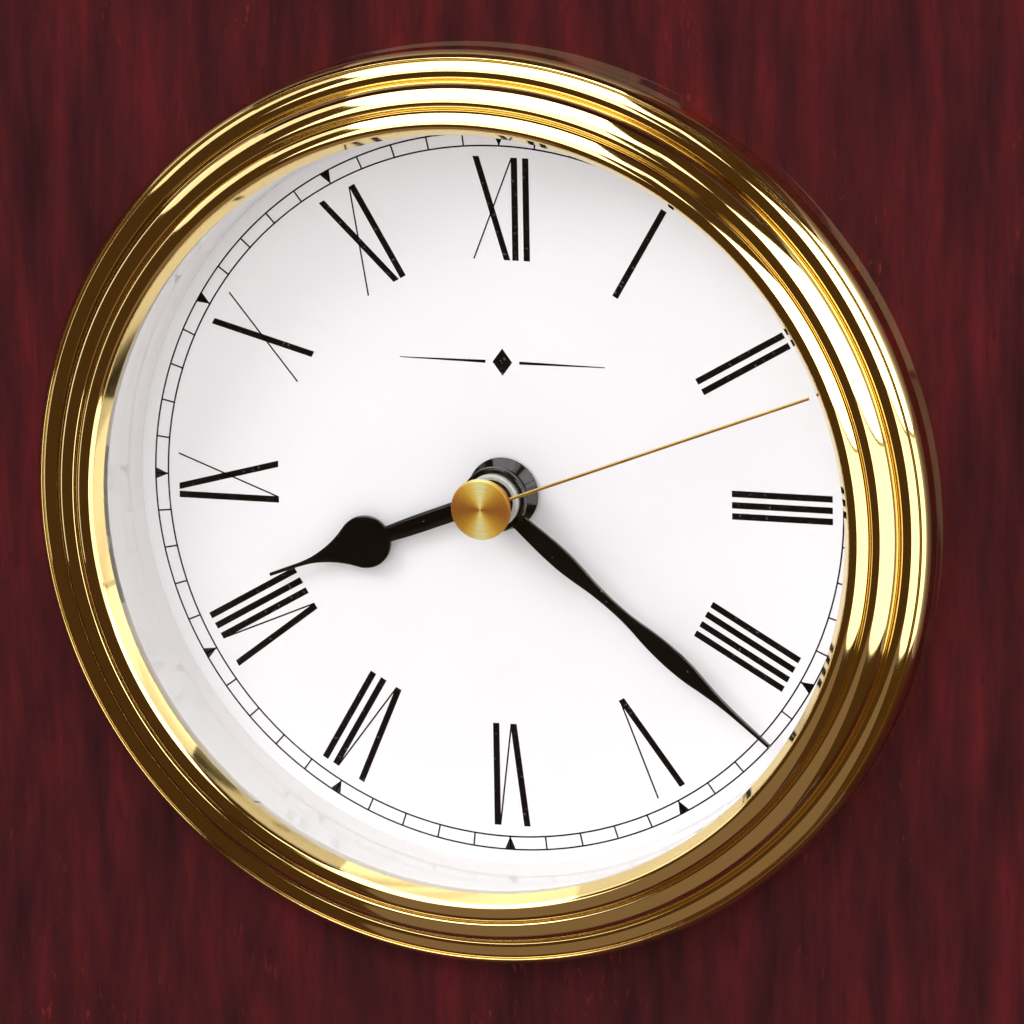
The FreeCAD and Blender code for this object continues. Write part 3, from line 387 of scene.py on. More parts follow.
def node(tree: Tree, kind: str, settings: dict | None = None,
         feeds: dict[str | int, Feed] | None = None) -> Node:
    """Adds one shader node.

    Args:
        tree: the material's nodes.
        kind: Blender's name of the node's type, without "ShaderNode".
        settings: values by name, for the node's options first and then its sockets; a colour may be a hex
            code, and "stops" sets a colour ramp from pairs of place and hex code or grey value.
        feeds: what feeds its sockets, as in feed().

    Returns:
        The node.
    """
    made = tree.nodes.new("ShaderNode" + kind)
    for name, value in (settings or {}).items():
        value = linear(value) if isinstance(value, str) and value.startswith("#") else value
        if name == "stops":
            ramp = made.color_ramp
            while len(ramp.elements) < len(value):
                ramp.elements.new(0.5)
            for element, (place, shade) in zip(ramp.elements, value):
                element.position = place
                element.color = linear(shade) if isinstance(shade, str) else (shade, shade, shade, 1.0)
        elif hasattr(made, name):
            setattr(made, name, value)
        else:
            next(s for s in made.inputs if s.name == name and s.enabled).default_value = value
    feed(tree, made, feeds or {})
    return made


def blended(tree: Tree, share: Feed | float, first: Feed | str, second: Feed | str,
            how: str = "MIX") -> Node:
    """Two colours, or nodes that give colours, mixed by a share of the second."""
    parts = {"Factor": share, "A": first, "B": second}
    plain = {name: part for name, part in parts.items() if isinstance(part, (str, float))}
    feeds = {name: part for name, part in parts.items() if name not in plain}
    return node(tree, "Mix", {"data_type": "RGBA", "blend_type": how} | plain, feeds)


def worked_out(tree: Tree, operation: str, *terms: Feed) -> Node:
    """A number worked out from others by an operation of the math node."""
    return node(tree, "Math", {"operation": operation}, dict(enumerate(terms)))


def bumped(tree: Tree, height: Feed, strength: float, depth: float) -> Node:
    """A relief of the given depth in millimetres."""
    return node(tree, "Bump", {"Strength": strength, "Distance": depth * MM}, {"Height": height})


def added(name: str, data: bpy.types.ID) -> bpy.types.Object:
    """A new object in the scene."""
    made = bpy.data.objects.new(name, data)
    bpy.context.scene.collection.objects.link(made)
    return made


@dataclass(frozen=True)
class Finish:
    """A plain finish: one colour a little uneven over a few millimetres, and a sheen that varies with it."""

    name: str
    color: str
    roughness: float = 0.4
    metallic: float = 0.0
    coat: float = 0.0
    coat_roughness: float = 0.03
    uneven: float = 0.06
    patch: float = 6.0
    grain: float = 0.25
    grain_depth: float = 0.05
    relief: float = 0.0

    def material(self) -> bpy.types.Material:
        """The finish's material, made the first time it is asked for."""
        made = bpy.data.materials.get(self.name)
        if made is None:
            made = bpy.data.materials.new(self.name)
            made.use_nodes = True
            tree = made.node_tree
            tree.nodes.clear()
            shader = node(tree, "BsdfPrincipled", {
                "Base Color": self.color, "Roughness": self.roughness, "Metallic": self.metallic,
                "Coat Weight": self.coat, "Coat Roughness": self.coat_roughness,
            })
            surface = self.dress(tree, shader)
            node(tree, "OutputMaterial", {}, {"Surface": surface})
        return made

    def scaled(self, tree: Tree, size: Sequence[float], at: Sequence[float] = (0, 0, 0),
               turn: Sequence[float] = (0, 0, 0)) -> Node:
        """Object coordinates turned and stretched so that one unit is the given size in millimetres."""
        where = node(tree, "TexCoord")
        turned_to = node(tree, "Mapping", {"Location": at, "Rotation": turn}, {"Vector": (where, "Object")})
        scale = [1 / (part * MM) for part in size]
        return node(tree, "Mapping", {"Scale": scale}, {"Vector": turned_to})

    def noise(self, tree: Tree, size: float, detail: float = 2.0, **settings: float) -> Node:
        """Noise in patches of the given size in millimetres."""
        return node(tree, "TexNoise", {"Scale": 1.0, "Detail": detail} | settings,
                    {"Vector": self.scaled(tree, [size] * 3)})

    def sheen(self, tree: Tree, pattern: Feed, share: float) -> Node:
        """Roughness that follows a pattern, by this share of itself up and down."""
        spread = share * self.roughness
        return node(tree, "MapRange", {"To Min": self.roughness - spread, "To Max": self.roughness + spread},
                    {"Value": pattern})

    def dress(self, tree: Tree, shader: Node) -> Node:
        """Adds the pattern to the plain shader and returns what the surface shows."""
        soft = self.noise(tree, self.patch, detail=3.0)
        darker = node(tree, "ValToRGB", {"stops": ((0.25, 1.0 - 3 * self.uneven), (0.7, 1.0))}, {"Fac": soft})
        color = blended(tree, 1.0, self.color, darker, "MULTIPLY")
        feed(tree, shader, {"Base Color": color, "Roughness": self.sheen(tree, soft, 0.3)})
        if self.relief:
            fine = self.noise(tree, self.grain)
            feed(tree, shader, {"Normal": bumped(tree, fine, self.relief, self.grain_depth)})
        return shader


class Grain(Enum):
    """Which way a board's fibres run; the value turns that direction to the pattern's own Z."""

    UPRIGHT = (0.0, 0.0, 0.0)
    ACROSS = (0.0, -math.pi / 2, 0.0)
    DEPTH = (math.pi / 2, 0.0, 0.0)


@dataclass(frozen=True)
class Rosewood(Finish):
    """Rosewood under a flat high-gloss lacquer: dark streaks a millimetre or two wide and some twenty long,
    fine fibres, clusters of orange-red flecks and short dark pores, all seen through a clear smooth coat."""

    name: str = "rosewood_gloss_lacquer"
    color: str = "#5a1a1e"
    roughness: float = 0.42
    coat: float = 0.6
    coat_roughness: float = 0.02
    run: Grain = Grain.UPRIGHT
    board: float = 0.0
    deep: str = "#311216"
    dark: str = "#3e161a"
    middle: str = "#4b181b"
    red: str = "#5e1a1f"
    fleck: str = "#96301c"
    fibre_depth: float = 0.03
    specular: float = 0.05
    wander: tuple = (22, 22, 60)
    sizes: tuple = ((3.4, 3.4, 22), (0.4, 0.4, 4), (0.5, 0.5, 1.9), (0.6, 0.6, 3.4), (14, 14, 34))

    def dress(self, tree: Tree, shader: Node) -> Node:
        """Streaks, fibres, flecks and pores in the colour; the fibres are also a slight relief."""
        at = (0.37 * self.board, 0.21 * self.board, 0.13 * self.board)
        turn = self.run.value
        bend = node(tree, "TexNoise", {"Scale": 1.0, "Detail": 2.0},
                    {"Vector": self.scaled(tree, self.wander, at, turn)})
        places = [self.scaled(tree, size, at, turn) for size in self.sizes]
        waved = [node(tree, "MixRGB", {"blend_type": "ADD", "Fac": 0.9}, {"Color1": place, "Color2": bend})
                 for place in places]
        broad, fine, spots, pores, cloud = (
            node(tree, "TexNoise", {"Scale": 1.0, "Detail": detail, "Roughness": rough}, {"Vector": place})
            for place, detail, rough in zip(waved, (5.0, 3.0, 2.0, 2.0, 2.0), (0.6, 0.6, 0.5, 0.5, 0.5)))
        streaks = node(tree, "ValToRGB", {"stops": (
            (0.28, self.deep), (0.42, self.dark), (0.55, self.middle), (0.72, self.red))}, {"Fac": broad})
        fibres = node(tree, "ValToRGB", {"stops": ((0.3, 0.72), (0.62, 1.0))}, {"Fac": fine})
        wood = blended(tree, 0.5, streaks, fibres, "MULTIPLY")
        where = node(tree, "ValToRGB", {"stops": ((0.5, 0.0), (0.75, 1.0))}, {"Fac": cloud})
        lit = node(tree, "ValToRGB", {"stops": ((0.64, 0.0), (0.78, 0.8))}, {"Fac": spots})
        flecked = blended(tree, worked_out(tree, "MULTIPLY", where, lit), wood, self.fleck)
        pore = node(tree, "ValToRGB", {"stops": ((0.26, 0.6), (0.38, 0.0))}, {"Fac": pores})
        grown = blended(tree, pore, flecked, self.deep)
        feed(tree, shader, {"Base Color": grown, "Normal": bumped(tree, fine, 0.2, self.fibre_depth)})
        shader.inputs["Specular IOR Level"].default_value = self.specular
        return shader


@dataclass(frozen=True)
class Softwood(Finish):
    """Sawn pine left bare: pale, with year lines and a dry surface."""

    name: str = "sawn_pine"
    color: str = "#cfa873"
    late: str = "#a97c48"
    roughness: float = 0.7

    def dress(self, tree: Tree, shader: Node) -> Node:
        """Year lines two millimetres apart, wavering along the block."""
        lines = node(tree, "TexWave", {"Scale": 0.5, "Distortion": 3.0, "Detail": 2.0},
                     {"Vector": self.scaled(tree, (2.0, 2.0, 30.0))})
        color = node(tree, "ValToRGB", {"stops": ((0.2, self.color), (0.85, self.late))}, {"Fac": lines})
        feed(tree, shader, {"Base Color": color, "Normal": bumped(tree, lines, 0.3, 0.1)})
        return shader


@dataclass(frozen=True)
class TurnedFace(Finish):
    """Metal faced off in the lathe: grooves a few hundredths of a millimetre apart round the axis stretch
    each highlight into a wedge from the middle to the rim. The upright wedge is a painted highlight laid into
    the colour, pale above and below the middle and dark orange to the sides."""

    anisotropy: float = 0.4
    groove: float = 0.07
    metallic: float = 1.0

    def dress(self, tree: Tree, shader: Node) -> Node:
        """A tangent that goes round the dial's axis, rings that vary the colour and sheen, and a painted
        highlight: a pale upright wedge with dark orange sides.
        """
        centre = [-c for c in DIAL_CENTRE]
        near = self.scaled(tree, [self.groove] * 3, at=centre)
        apart = node(tree, "SeparateXYZ", {}, {"Vector": near})
        squares = [worked_out(tree, "MULTIPLY", (apart, axis), (apart, axis)) for axis in "XZ"]
        total = worked_out(tree, "ADD", *squares)
        radius = worked_out(tree, "SQRT", total)
        rings = node(tree, "TexNoise", {"noise_dimensions": "1D", "Scale": 1.0, "Detail": 2.0}, {"W": radius})
        plain = node(tree, "ValToRGB", {"stops": ((0.3, "#d9d9d9"), (0.65, "#ffffff"))}, {"Fac": rings})
        # Painted highlight: pale where the direction round the axis is near upright, dark orange where it is
        # level.
        upright = worked_out(tree, "DIVIDE", squares[1], total)
        painted_highlight_wedge = node(tree, "ValToRGB", {"stops": (
            (0.0, "#a05e12"), (0.5, "#d49c2c"), (0.85, "#f4ce58"), (0.99, self.color))}, {"Fac": upright})
        color = blended(tree, 1.0, painted_highlight_wedge, plain, "MULTIPLY")
        round_axis = node(tree, "Tangent", {"direction_type": "RADIAL", "axis": "Y"})
        feed(tree, shader, {"Base Color": color, "Roughness": self.sheen(tree, rings, 0.2),
                            "Tangent": round_axis})
        shader.inputs["Anisotropic"].default_value = self.anisotropy
        return shader


@dataclass(frozen=True)
class SpeckledBlack(Finish):
    """Black lacquer or printing ink with a few specks of dust, a tenth or two of a millimetre across."""

    speck: str = "#b9b6ae"
    speck_size: float = 0.45
    share: float = 0.70

    def dress(self, tree: Tree, shader: Node) -> Node:
        """Specks where a fine noise peaks, and a faint unevenness in the gloss."""
        dust = self.noise(tree, self.speck_size, detail=1.0, Roughness=0.4)
        peak = node(tree, "ValToRGB", {"stops": ((self.share, 0.0), (self.share + 0.05, 1.0))}, {"Fac": dust})
        color = blended(tree, peak, self.color, self.speck)
        feed(tree, shader, {"Base Color": color, "Roughness": self.sheen(tree, dust, 0.3)})
        return shader


@dataclass(frozen=True)
class Backdrop(Finish):
    """Matt paper that pales away from the clock, so that it looks even though the lamps stand near."""

    far: str = "#f2f1ef"
    reach: float = 3500.0

    def dress(self, tree: Tree, shader: Node) -> Node:
        """A round gradient from the clock's own place outwards."""
        ball = node(tree, "TexGradient", {"gradient_type": "SPHERICAL"},
                    {"Vector": self.scaled(tree, [self.reach] * 3)})
        color = node(tree, "ValToRGB", {"stops": ((0.0, self.far), (0.9, self.color))}, {"Fac": ball})
        feed(tree, shader, {"Base Color": color})
        return shader


@dataclass(frozen=True)
class ClockGlass(Finish):
    """Flat polished glass: clear, and a mirror to the share that its front face throws back."""

    name: str = "mineral_glass"
    color: str = "#ffffff"
    roughness: float = 0.0
    metallic: float = 1.0
    bend: float = 1.5
    smear_size: float = 9.0
    haze: float = 0.04

    def dress(self, tree: Tree, shader: Node) -> Node:
        """Mixes clear and mirror by the angle of view on the front face, and leaves the back face clear."""
        smear = self.noise(tree, self.smear_size)
        sheen = node(tree, "MapRange", {"To Min": 0.0, "To Max": self.haze}, {"Value": smear})
        feed(tree, shader, {"Roughness": sheen})
        clear = node(tree, "BsdfTransparent", {"Color": "#ffffff"})
        thrown = node(tree, "Fresnel", {"IOR": self.bend})
        front = node(tree, "MixShader", {}, {"Fac": thrown, 1: clear, 2: shader})
        side = node(tree, "NewGeometry")
        return node(tree, "MixShader", {}, {"Fac": (side, "Backfacing"), 1: front, 2: clear})


@dataclass(frozen=True)
class Banded(Finish):
    """A finish in even bands along one axis: the turns of a winding or the colours of a jacket."""

    other: str = "#000000"
    pitch: float = 1.0
    axis: str = "X"
    soft: float = 0.2

    def dress(self, tree: Tree, shader: Node) -> Node:
        """Bands of the two colours, raised in their middles."""
        waves = node(tree, "TexWave", {"bands_direction": self.axis, "Scale": ONE_BAND, "Distortion": 0.0},
                     {"Vector": self.scaled(tree, [self.pitch] * 3)})
        edge = (0.5 - self.soft / 2, 0.5 + self.soft / 2)
        color = node(tree, "ValToRGB", {"stops": ((edge[0], self.other), (edge[1], self.color))},
                     {"Fac": waves})
        feed(tree, shader, {"Base Color": color, "Normal": bumped(tree, waves, self.relief, 0.1)})
        return shader


# Brass polished on the buff and lacquered: a warm mirror with hardly any blur, near white where it meets a
# lamp and brown where it meets the dim surroundings.
POLISHED_BRASS = Finish("polished_brass", "#f0d591", roughness=0.06, metallic=1.0, uneven=0.015, patch=9)
# Cast and tumbled brass for the feet and handle: the same metal with a slightly softer reflection.
CAST_BRASS = Finish("tumbled_brass", "#e8c576", roughness=0.16, metallic=1.0, uneven=0.03, patch=5)
# Gilding on the second hand: a warm yellow satin.
GILT = Finish("gilt_brass", "#e2bf68", roughness=0.32, metallic=1.0, uneven=0.05, patch=3)
# The cap's turned face: lacquered brass with the lathe's grooves left in, and a painted highlight, pale in an
# upright wedge.
TURNED_CAP = TurnedFace("turned_brass_cap", "#fff2a6", roughness=0.5, metallic=0.5)
# Hands blanked from sheet, lacquered glossy black.
BLACK_LACQUER = SpeckledBlack("black_hand_lacquer", "#040404", roughness=0.1, share=0.77)
# Printing ink: black and a little glossy, thin enough to show a few pinholes.
INK = SpeckledBlack("dial_printing_ink", "#08080a", roughness=0.2, speck="#4a4c50", speck_size=0.4,
                    share=0.68)
# Painted steel dial: a white satin with a breath of grain.
DIAL_WHITE = Finish("white_dial_paint", "#faf8f9", roughness=0.55, uneven=0.004, patch=12, relief=0.08)
# Moulded white styrene, glossy, so that it mirrors the dial's edge.
GLOSS_WHITE = Finish("gloss_white_styrene", "#f4f2ef", roughness=0.10, uneven=0.006, patch=20)
GLASS = ClockGlass()
# Nickel plate: a pale grey mirror, slightly warm.
NICKEL = Finish("nickel_plate", "#c9c5bc", roughness=0.14, metallic=1.0, uneven=0.03, patch=3)
# Barrelled nickel of the hands' nut: pale grey, hardly mirroring.
SATIN_NICKEL = Finish("satin_nickel", "#c4c8c4", roughness=0.5, metallic=0.3, uneven=0.02, patch=2)
# Zinc-plated steel: a bluish grey with a soft spangle.
ZINC = Finish("zinc_plated_steel", "#a9adb0", roughness=0.32, metallic=1.0, uneven=0.08, patch=1.5)
# Soft iron laminations of the motor, dull grey.
MOTOR_IRON = Finish("silicon_steel", "#7d7c7a", roughness=0.45, metallic=1.0, uneven=0.10, patch=2)
# Spark-eroded ABS: black with a fine dead-matt texture.
BLACK_ABS = Finish("spark_eroded_black_abs", "#17171a", roughness=0.55, uneven=0.05, grain=0.3, relief=0.5)
# Unfilled acetal of the wheels: milky white and waxy.
ACETAL = Finish("natural_acetal", "#e6e4dc", roughness=0.38, uneven=0.02, patch=2)
# Nitrile ring round the cup: black with a slight bloom.
RUBBER = Finish("nitrile_rubber", "#202021", roughness=0.75, uneven=0.10, patch=1.5, grain=0.2, relief=0.4)
# Pressed wool felt: dark green, with fibres a tenth of a millimetre thick, drawn at three tenths to show.
FELT = Finish("pressed_wool_felt", "#2c3a2e", roughness=0.95, uneven=0.16, patch=0.6, grain=0.3, relief=1.0)
# Brown moulded catch.
CATCH_BROWN = Finish("brown_polypropylene", "#4b2e1f", roughness=0.42, uneven=0.05, grain=0.4, relief=0.3)
# Enamelled copper wire, one tenth of a millimetre thick, drawn at four tenths so that the turns show; the
# dark brown in the valleys between the turns is painted shade.
COPPER_WIRE = Banded("enamelled_copper_wire", "#b5602f", roughness=0.28, metallic=1.0, other="#5b2812",
                     pitch=0.4, relief=0.6, soft=0.5)
# Solder mask over laminate: green, with darker and lighter lanes where copper lies under it.
SOLDER_MASK = Banded("green_solder_mask", "#1f6a3a", roughness=0.30, coat=0.4, other="#17512c", pitch=1.3,
                     relief=0.1, soft=0.15)
# Printed jacket of the cell: plain dark grey with one broad band.
BATTERY_JACKET = Banded("printed_cell_jacket", "#3a3f45", roughness=0.22, coat=0.5, other="#8c5a2b",
                        pitch=36.0, relief=0.0, soft=0.02)
PINE = Softwood()
# The floor's paper.
BACKDROP_PAPER = Backdrop("pale_backdrop_paper", "#cfcdc9", roughness=0.9)


def rosewood(run: Grain, board: int) -> Rosewood:
    """Rosewood of one board: the way its fibres run, and which part of the log it is cut from."""
    return Rosewood(name=f"rosewood_gloss_lacquer_{run.name.lower()}_{board}", run=run, board=board)


# ---- Pieces ---------------------------------------------------------------------------------------------


def dress_nodes(finish: Finish, *names: str) -> None:
    """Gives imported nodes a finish.

    Args:
        finish: what they are finished in.
        names: the nodes.
    """
    for name in names:
        mesh = frame["nodes"][name].data
        mesh.materials.clear()
        mesh.materials.append(finish.material())
        LOG.info("dressed %s in %s", name, finish.name)


def piece(name: str, surface: Surface, finish: Finish, body: str,
          stands_for: Sequence[str] = (), crease: float = 32.0) -> bpy.types.Object:
    """Makes one visible piece from a surface.

    Doubled points at seams and poles are merged, so that the piece is closed, and its faces are turned
    outwards. Edges sharper than the crease stay crisp.

    Args:
        name: the piece's name.
        surface: its points and faces in the row frame, in metres.
        finish: what it is finished in.
        body: the moving body that it rides on.
        stands_for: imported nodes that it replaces.
        crease: angle in degrees.

    Returns:
        The new object.
    """
    mesh = bpy.data.meshes.new(name)
    mesh.from_pydata(surface.points.tolist(), [], surface.faces)
    shape = bmesh.new()
    shape.from_mesh(mesh)
    bmesh.ops.remove_doubles(shape, verts=shape.verts, dist=WELD)
    bmesh.ops.dissolve_degenerate(shape, edges=shape.edges, dist=WELD)
    bmesh.ops.recalc_face_normals(shape, faces=shape.faces)
    shape.to_mesh(mesh)
    shape.free()
    mesh.shade_smooth()
    mesh.set_sharp_from_angle(angle=math.radians(crease))
    mesh.materials.append(finish.material())
    made = added(name, mesh)
    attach(made, body)
    if stands_for:
        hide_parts(*stands_for)
    LOG.info("built %s: %d faces, rides %s", name, len(mesh.polygons), body)
    return made


def grain_by_side(made: bpy.types.Object, side: Finish) -> None:
    """Gives the faces that look along X a second finish, as on a moulding mitred from four lengths.

    Args:
        made: the moulding.
        side: the finish of the lengths that run from front to back.
    """
    polygons = made.data.polygons
    normals = np.empty(3 * len(polygons))
    polygons.foreach_get("normal", normals)
    x, y, _ = np.abs(normals.reshape(-1, 3)).T
    made.data.materials.append(side.material())
    polygons.foreach_set("material_index", (x > y + 1e-4).astype(np.int32))


@dataclass
class CaseWork:
    """Wooden case on four brass feet: boards with a moulded plinth, cornice and cap."""

    foot_radius: float = 9.0
    arris: float = 0.7
    soft: float = 0.35
    foot_soft: float = 0.25
    pad_soft: float = 0.3
    foot_segments: int = 72
    pad_segments: int = 48
    plinth_steps: tuple = (
        (0.0, 0.0), (0.0, 6.0), (1.0, 6.0), (1.0, 7.0), Arc((5.95, 9.05), (8.0, 14.0)), (8.0, 16.0))
    cornice_steps: tuple = (
        (8.0, 0.0), (8.0, 2.0), Arc((5.95, 6.95), (1.0, 9.0)), (1.0, 10.0), (0.0, 10.0), (0.0, 12.5),
        Arc((0.45, 13.55), (1.5, 14.0)))
    cap_steps: tuple = (
        (0.0, 0.0), (0.0, 2.5), Arc((1.17, 5.33), (4.0, 6.5)), (5.0, 6.5), (5.0, 8.0))
    foot_steps: tuple = (
        (0.0, 0.0), (6.5, 0.0), Arc((9.0, 2.7), (7.5, 5.2)), (6.5, 5.2), (6.5, 6.0), (0.0, 6.0))
    pad_steps: tuple = ((0.0, 0.0), (6.0, 0.0), (6.0, 1.0), (0.0, 1.0))
    upright_boards: tuple = (
        "front_panel", "side_panel_left", "side_panel_right", "rear_stile_left", "rear_stile_right")
    rails: tuple = ("rear_rail_top", "rear_rail_bottom")
    first_moulding_board: int = 6
    first_rail_board: int = 9

    def build(self) -> None:
        """Builds the mouldings and feet and dresses the boards."""
        runs = (("plinth", self.plinth_steps), ("cornice", self.cornice_steps), ("top_cap", self.cap_steps))
        for board, (name, steps) in enumerate(runs, start=self.first_moulding_board):
            self.moulding(name, steps, board)
        self.feet()
        self.boards()

    def moulding(self, name: str, steps: tuple, board: int) -> None:
        """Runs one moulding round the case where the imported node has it."""
        low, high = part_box(name)
        outline = softened(trace(steps, 14), self.soft, closed=False)
        surface = mitred(outline, Vector((high.x, high.y, low.z)), self.arris)
        made = piece(f"{name}_moulding", surface, rosewood(Grain.ACROSS, board), "case", [name])
        grain_by_side(made, rosewood(Grain.DEPTH, board))

    def feet(self) -> None:
        """Turned feet at the four corners, each on a felt pad."""
        low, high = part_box("feet")
        at_x, at_y = high.x - self.foot_radius * MM, high.y - self.foot_radius * MM
        outline = softened(trace(self.foot_steps, 16), self.foot_soft, closed=False)
        corners = [(x, y, low.z) for x in (-at_x, at_x) for y in (-at_y, at_y)]
        surface = joined([turned(outline, Stand.UP, at, self.foot_segments) for at in corners])
        piece("turned_feet", surface, CAST_BRASS, "case", ["feet"])
        pad = softened(np.array(self.pad_steps), self.pad_soft, closed=False)
        pads = joined([turned(pad, Stand.UP, (x, y, 0.0), self.pad_segments) for x, y, _ in corners])
        piece("felt_pads", pads, FELT, "case", ["foot_felts"])

    def boards(self) -> None:
        """Grain upright in the panels and stiles and across in the rails."""
        for board, name in enumerate(self.upright_boards):
            dress_nodes(rosewood(Grain.UPRIGHT, board), name)
        for board, name in enumerate(self.rails, start=self.first_rail_board):
            dress_nodes(rosewood(Grain.ACROSS, board), name)
        dress_nodes(PINE, "glue_blocks")


@dataclass
class Handle:
    """Brass carrying handle: two turned posts, an arched bail and a turned grip."""

    rod_radius: float = 2.4
    bend: float = 18.0
    eye_radius: float = 5.2
    eye_thickness: float = 3.0
    eye_bore: float = 1.6
    boss_radius: float = 4.2
    post_radius: float = 6.5
    foot_heights: tuple = (4.4, 8.0, 12.0)
    grip_half: float = 24.0
    post_soft: float = 0.2
    boss_soft: float = 0.4
    eye_soft: float = 0.3
    fine_soft: float = 0.15
    segments: int = 72
    post_steps: tuple = (
        (0.0, 0.0), (6.5, 0.0), (6.5, 1.2), Arc((6.0, 1.9), (5.2, 2.0)), Arc((3.6, 3.6), (3.0, 7.0)),
        (3.0, 9.0), (0.0, 9.0))
    screw_steps: tuple = (
        (0.0, -8.0), (1.5, -8.0), (1.5, -2.0), (3.2, -2.0), (3.2, -1.2), Arc((1.7, -0.31), (0.0, 0.0)))
    grip_steps: tuple = (
        (2.4, 0.0), (4.0, 0.0), Arc((3.82, 9.0), (3.1, 18.0)), Arc((4.0, 19.1), (3.1, 20.2)),
        Arc((4.0, 21.75), (3.1, 23.2)), (3.1, 24.0), (2.4, 24.0))

    def build(self) -> None:
        """Builds the posts, screws, bail and grip."""
        pivot = JOINT_PLACES["handle_fold"]
        _, post_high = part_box("handle_posts")
        _, bail_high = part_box("handle_bail")
        cap_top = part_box("top_cap")[1].z
        post_x = post_high.x - self.post_radius * MM
        eye_x = bail_high.x - self.rod_radius * MM
        self.posts(post_x, cap_top, pivot.z)
        self.screws(pivot)
        self.bail(eye_x, pivot.z, bail_high.z - self.rod_radius * MM)
        self.grip(bail_high.z - self.rod_radius * MM)
        dress_nodes(ZINC, "post_nuts", "post_washers")

    def posts(self, post_x: float, base: float, pivot_z: float) -> None:
        """Turned columns with a cross boss for the pivot."""
        column = softened(trace(self.post_steps), self.post_soft, closed=False)
        r = self.boss_radius
        boss = softened(np.array([(0.0, -r), (r, -r), (r, r), (0.0, r)]), self.boss_soft, closed=False)
        parts = [turned(column, Stand.UP, (x, 0, base), self.segments) for x in (-post_x, post_x)]
        parts += [turned(boss, Stand.RIGHT, (x, 0, pivot_z), self.segments) for x in (-post_x, post_x)]
        piece("turned_posts", joined(parts), CAST_BRASS, "case", ["handle_posts"])

    def screws(self, pivot: Vector) -> None:
        """Domed shoulder screws, seen outside the bail's eyes."""
        _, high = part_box("pivot_screws")
        outline = softened(trace(self.screw_steps), self.fine_soft, closed=False)
        parts = [turned(outline, stand, (x, pivot.y, pivot.z), 64)
                 for stand, x in ((Stand.RIGHT, high.x), (Stand.LEFT, -high.x))]
        piece("domed_pivot_screws", joined(parts), POLISHED_BRASS, "case", ["pivot_screws"])

    def bail(self, eye_x: float, pivot_z: float, top_z: float) -> None:
        """Rod bent to an arch: two uprights, two round bends and the top, with a flat eye at each foot."""
        x, rise, r = eye_x / MM, (top_z - pivot_z) / MM, self.bend
        angle = np.linspace(0, math.pi / 2, 25)
        bend = np.stack([x - r + r * np.cos(angle), rise - r + r * np.sin(angle)], axis=1)
        foot = np.array([[x, height] for height in self.foot_heights])
        right = np.concatenate([foot, bend])
        path = np.concatenate([right, right[::-1] * np.array([-1, 1])])
        arch = bent_rod(path, self.rod_radius, Stand.FRONT, (0, 0, pivot_z))
        half = self.eye_thickness / 2
        bore, rim = self.eye_bore, self.eye_radius
        section = np.array([(bore, -half), (rim, -half), (rim, half), (bore, half)])
        eye = softened(section, self.eye_soft)
        eyes = [turned(eye, Stand.RIGHT, (side * eye_x, 0, pivot_z), self.segments, ring=True)
                for side in (-1, 1)]
        piece("bent_bail", joined([arch] + eyes), CAST_BRASS, "handle", ["handle_bail"])

    def grip(self, height: float) -> None:
        """Turned sleeve: a swelling between two pairs of rings."""
        half = trace(self.grip_steps, 16)[1:-1]
        section = np.concatenate([half[::-1] * np.array([1, -1]), half])
        bore = [(self.rod_radius, self.grip_half), (self.rod_radius, -self.grip_half)]
        closed = np.concatenate([section, bore])
        surface = turned(softened(closed, self.fine_soft), Stand.RIGHT, (0, 0, height), 80, ring=True)
        piece("turned_grip", surface, POLISHED_BRASS, "handle", ["handle_grip"])


@dataclass
class RearDoor:
    """Door in the back with its hinges, knob and catch."""

    knob_height: float = 9.48
    knob_soft: float = 0.15
    knob_segments: int = 72
    knob_steps: tuple = (
        (0.0, -4.0), (1.5, -4.0), (1.5, 0.0), (3.2, 0.0), (3.2, 0.8), (1.8, 1.4), (1.8, 2.8),
        Arc((3.58, 5.9), (0.0, 9.48)))

    def build(self) -> None:
        """Builds the knob and dresses the door and its fittings."""
        low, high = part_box("door_knob")
        middle = (low + high) / 2
        outline = softened(trace(self.knob_steps, 28), self.knob_soft, closed=False)
        at = (middle.x, high.y - self.knob_height * MM, middle.z)
        surface = turned(outline, Stand.BACK, at, self.knob_segments)
        piece("turned_knob", surface, POLISHED_BRASS, "door", ["door_knob"])
        dress_nodes(rosewood(Grain.UPRIGHT, 5), "rear_door")
        dress_nodes(POLISHED_BRASS, "hinge_frame_leaves", "hinge_door_leaves", "hinge_pins",
                    "hinge_frame_screws", "hinge_door_screws")
        dress_nodes(CATCH_BROWN, "magnet_catch")
        dress_nodes(ZINC, "strike_plate")


@dataclass
class Bezel:
    """Turned brass bezel: three stepped rings, each with a fine inner edge, and the spigot behind."""

    segments: int = 384
    soft: float = 0.1
    crease: float = 50.0
    steps: tuple = (
        (44.2, 5.5), (50.0, 5.5), (50.0, 7.2), Arc((49.83, 8.55), (49.42, 9.12)),
        Arc((49.27, 9.1), (49.2, 8.95)), Arc((48.55, 9.5), (47.55, 9.7)),
        Arc((47.3, 9.6), (47.2, 9.4)), (47.16, 9.4),
        Arc((46.5, 11.2), (44.95, 12.0)), Arc((44.7, 11.9), (44.6, 11.68)), (44.52, 11.68),
        Arc((43.94, 12.6), (42.75, 13.1)), Arc((42.42, 12.92), (42.2, 12.6)), (41.5, 11.4), (41.5, 11.2),
        (43.2, 11.2), (43.2, -2.0), (44.2, -2.0))

    def build(self) -> None:
        """Turns the bezel on the dial's axis."""
        surface = dial_ring(self.steps, self.soft, self.segments)
        piece("stepped_bezel", surface, POLISHED_BRASS, "case", ["bezel"], self.crease)


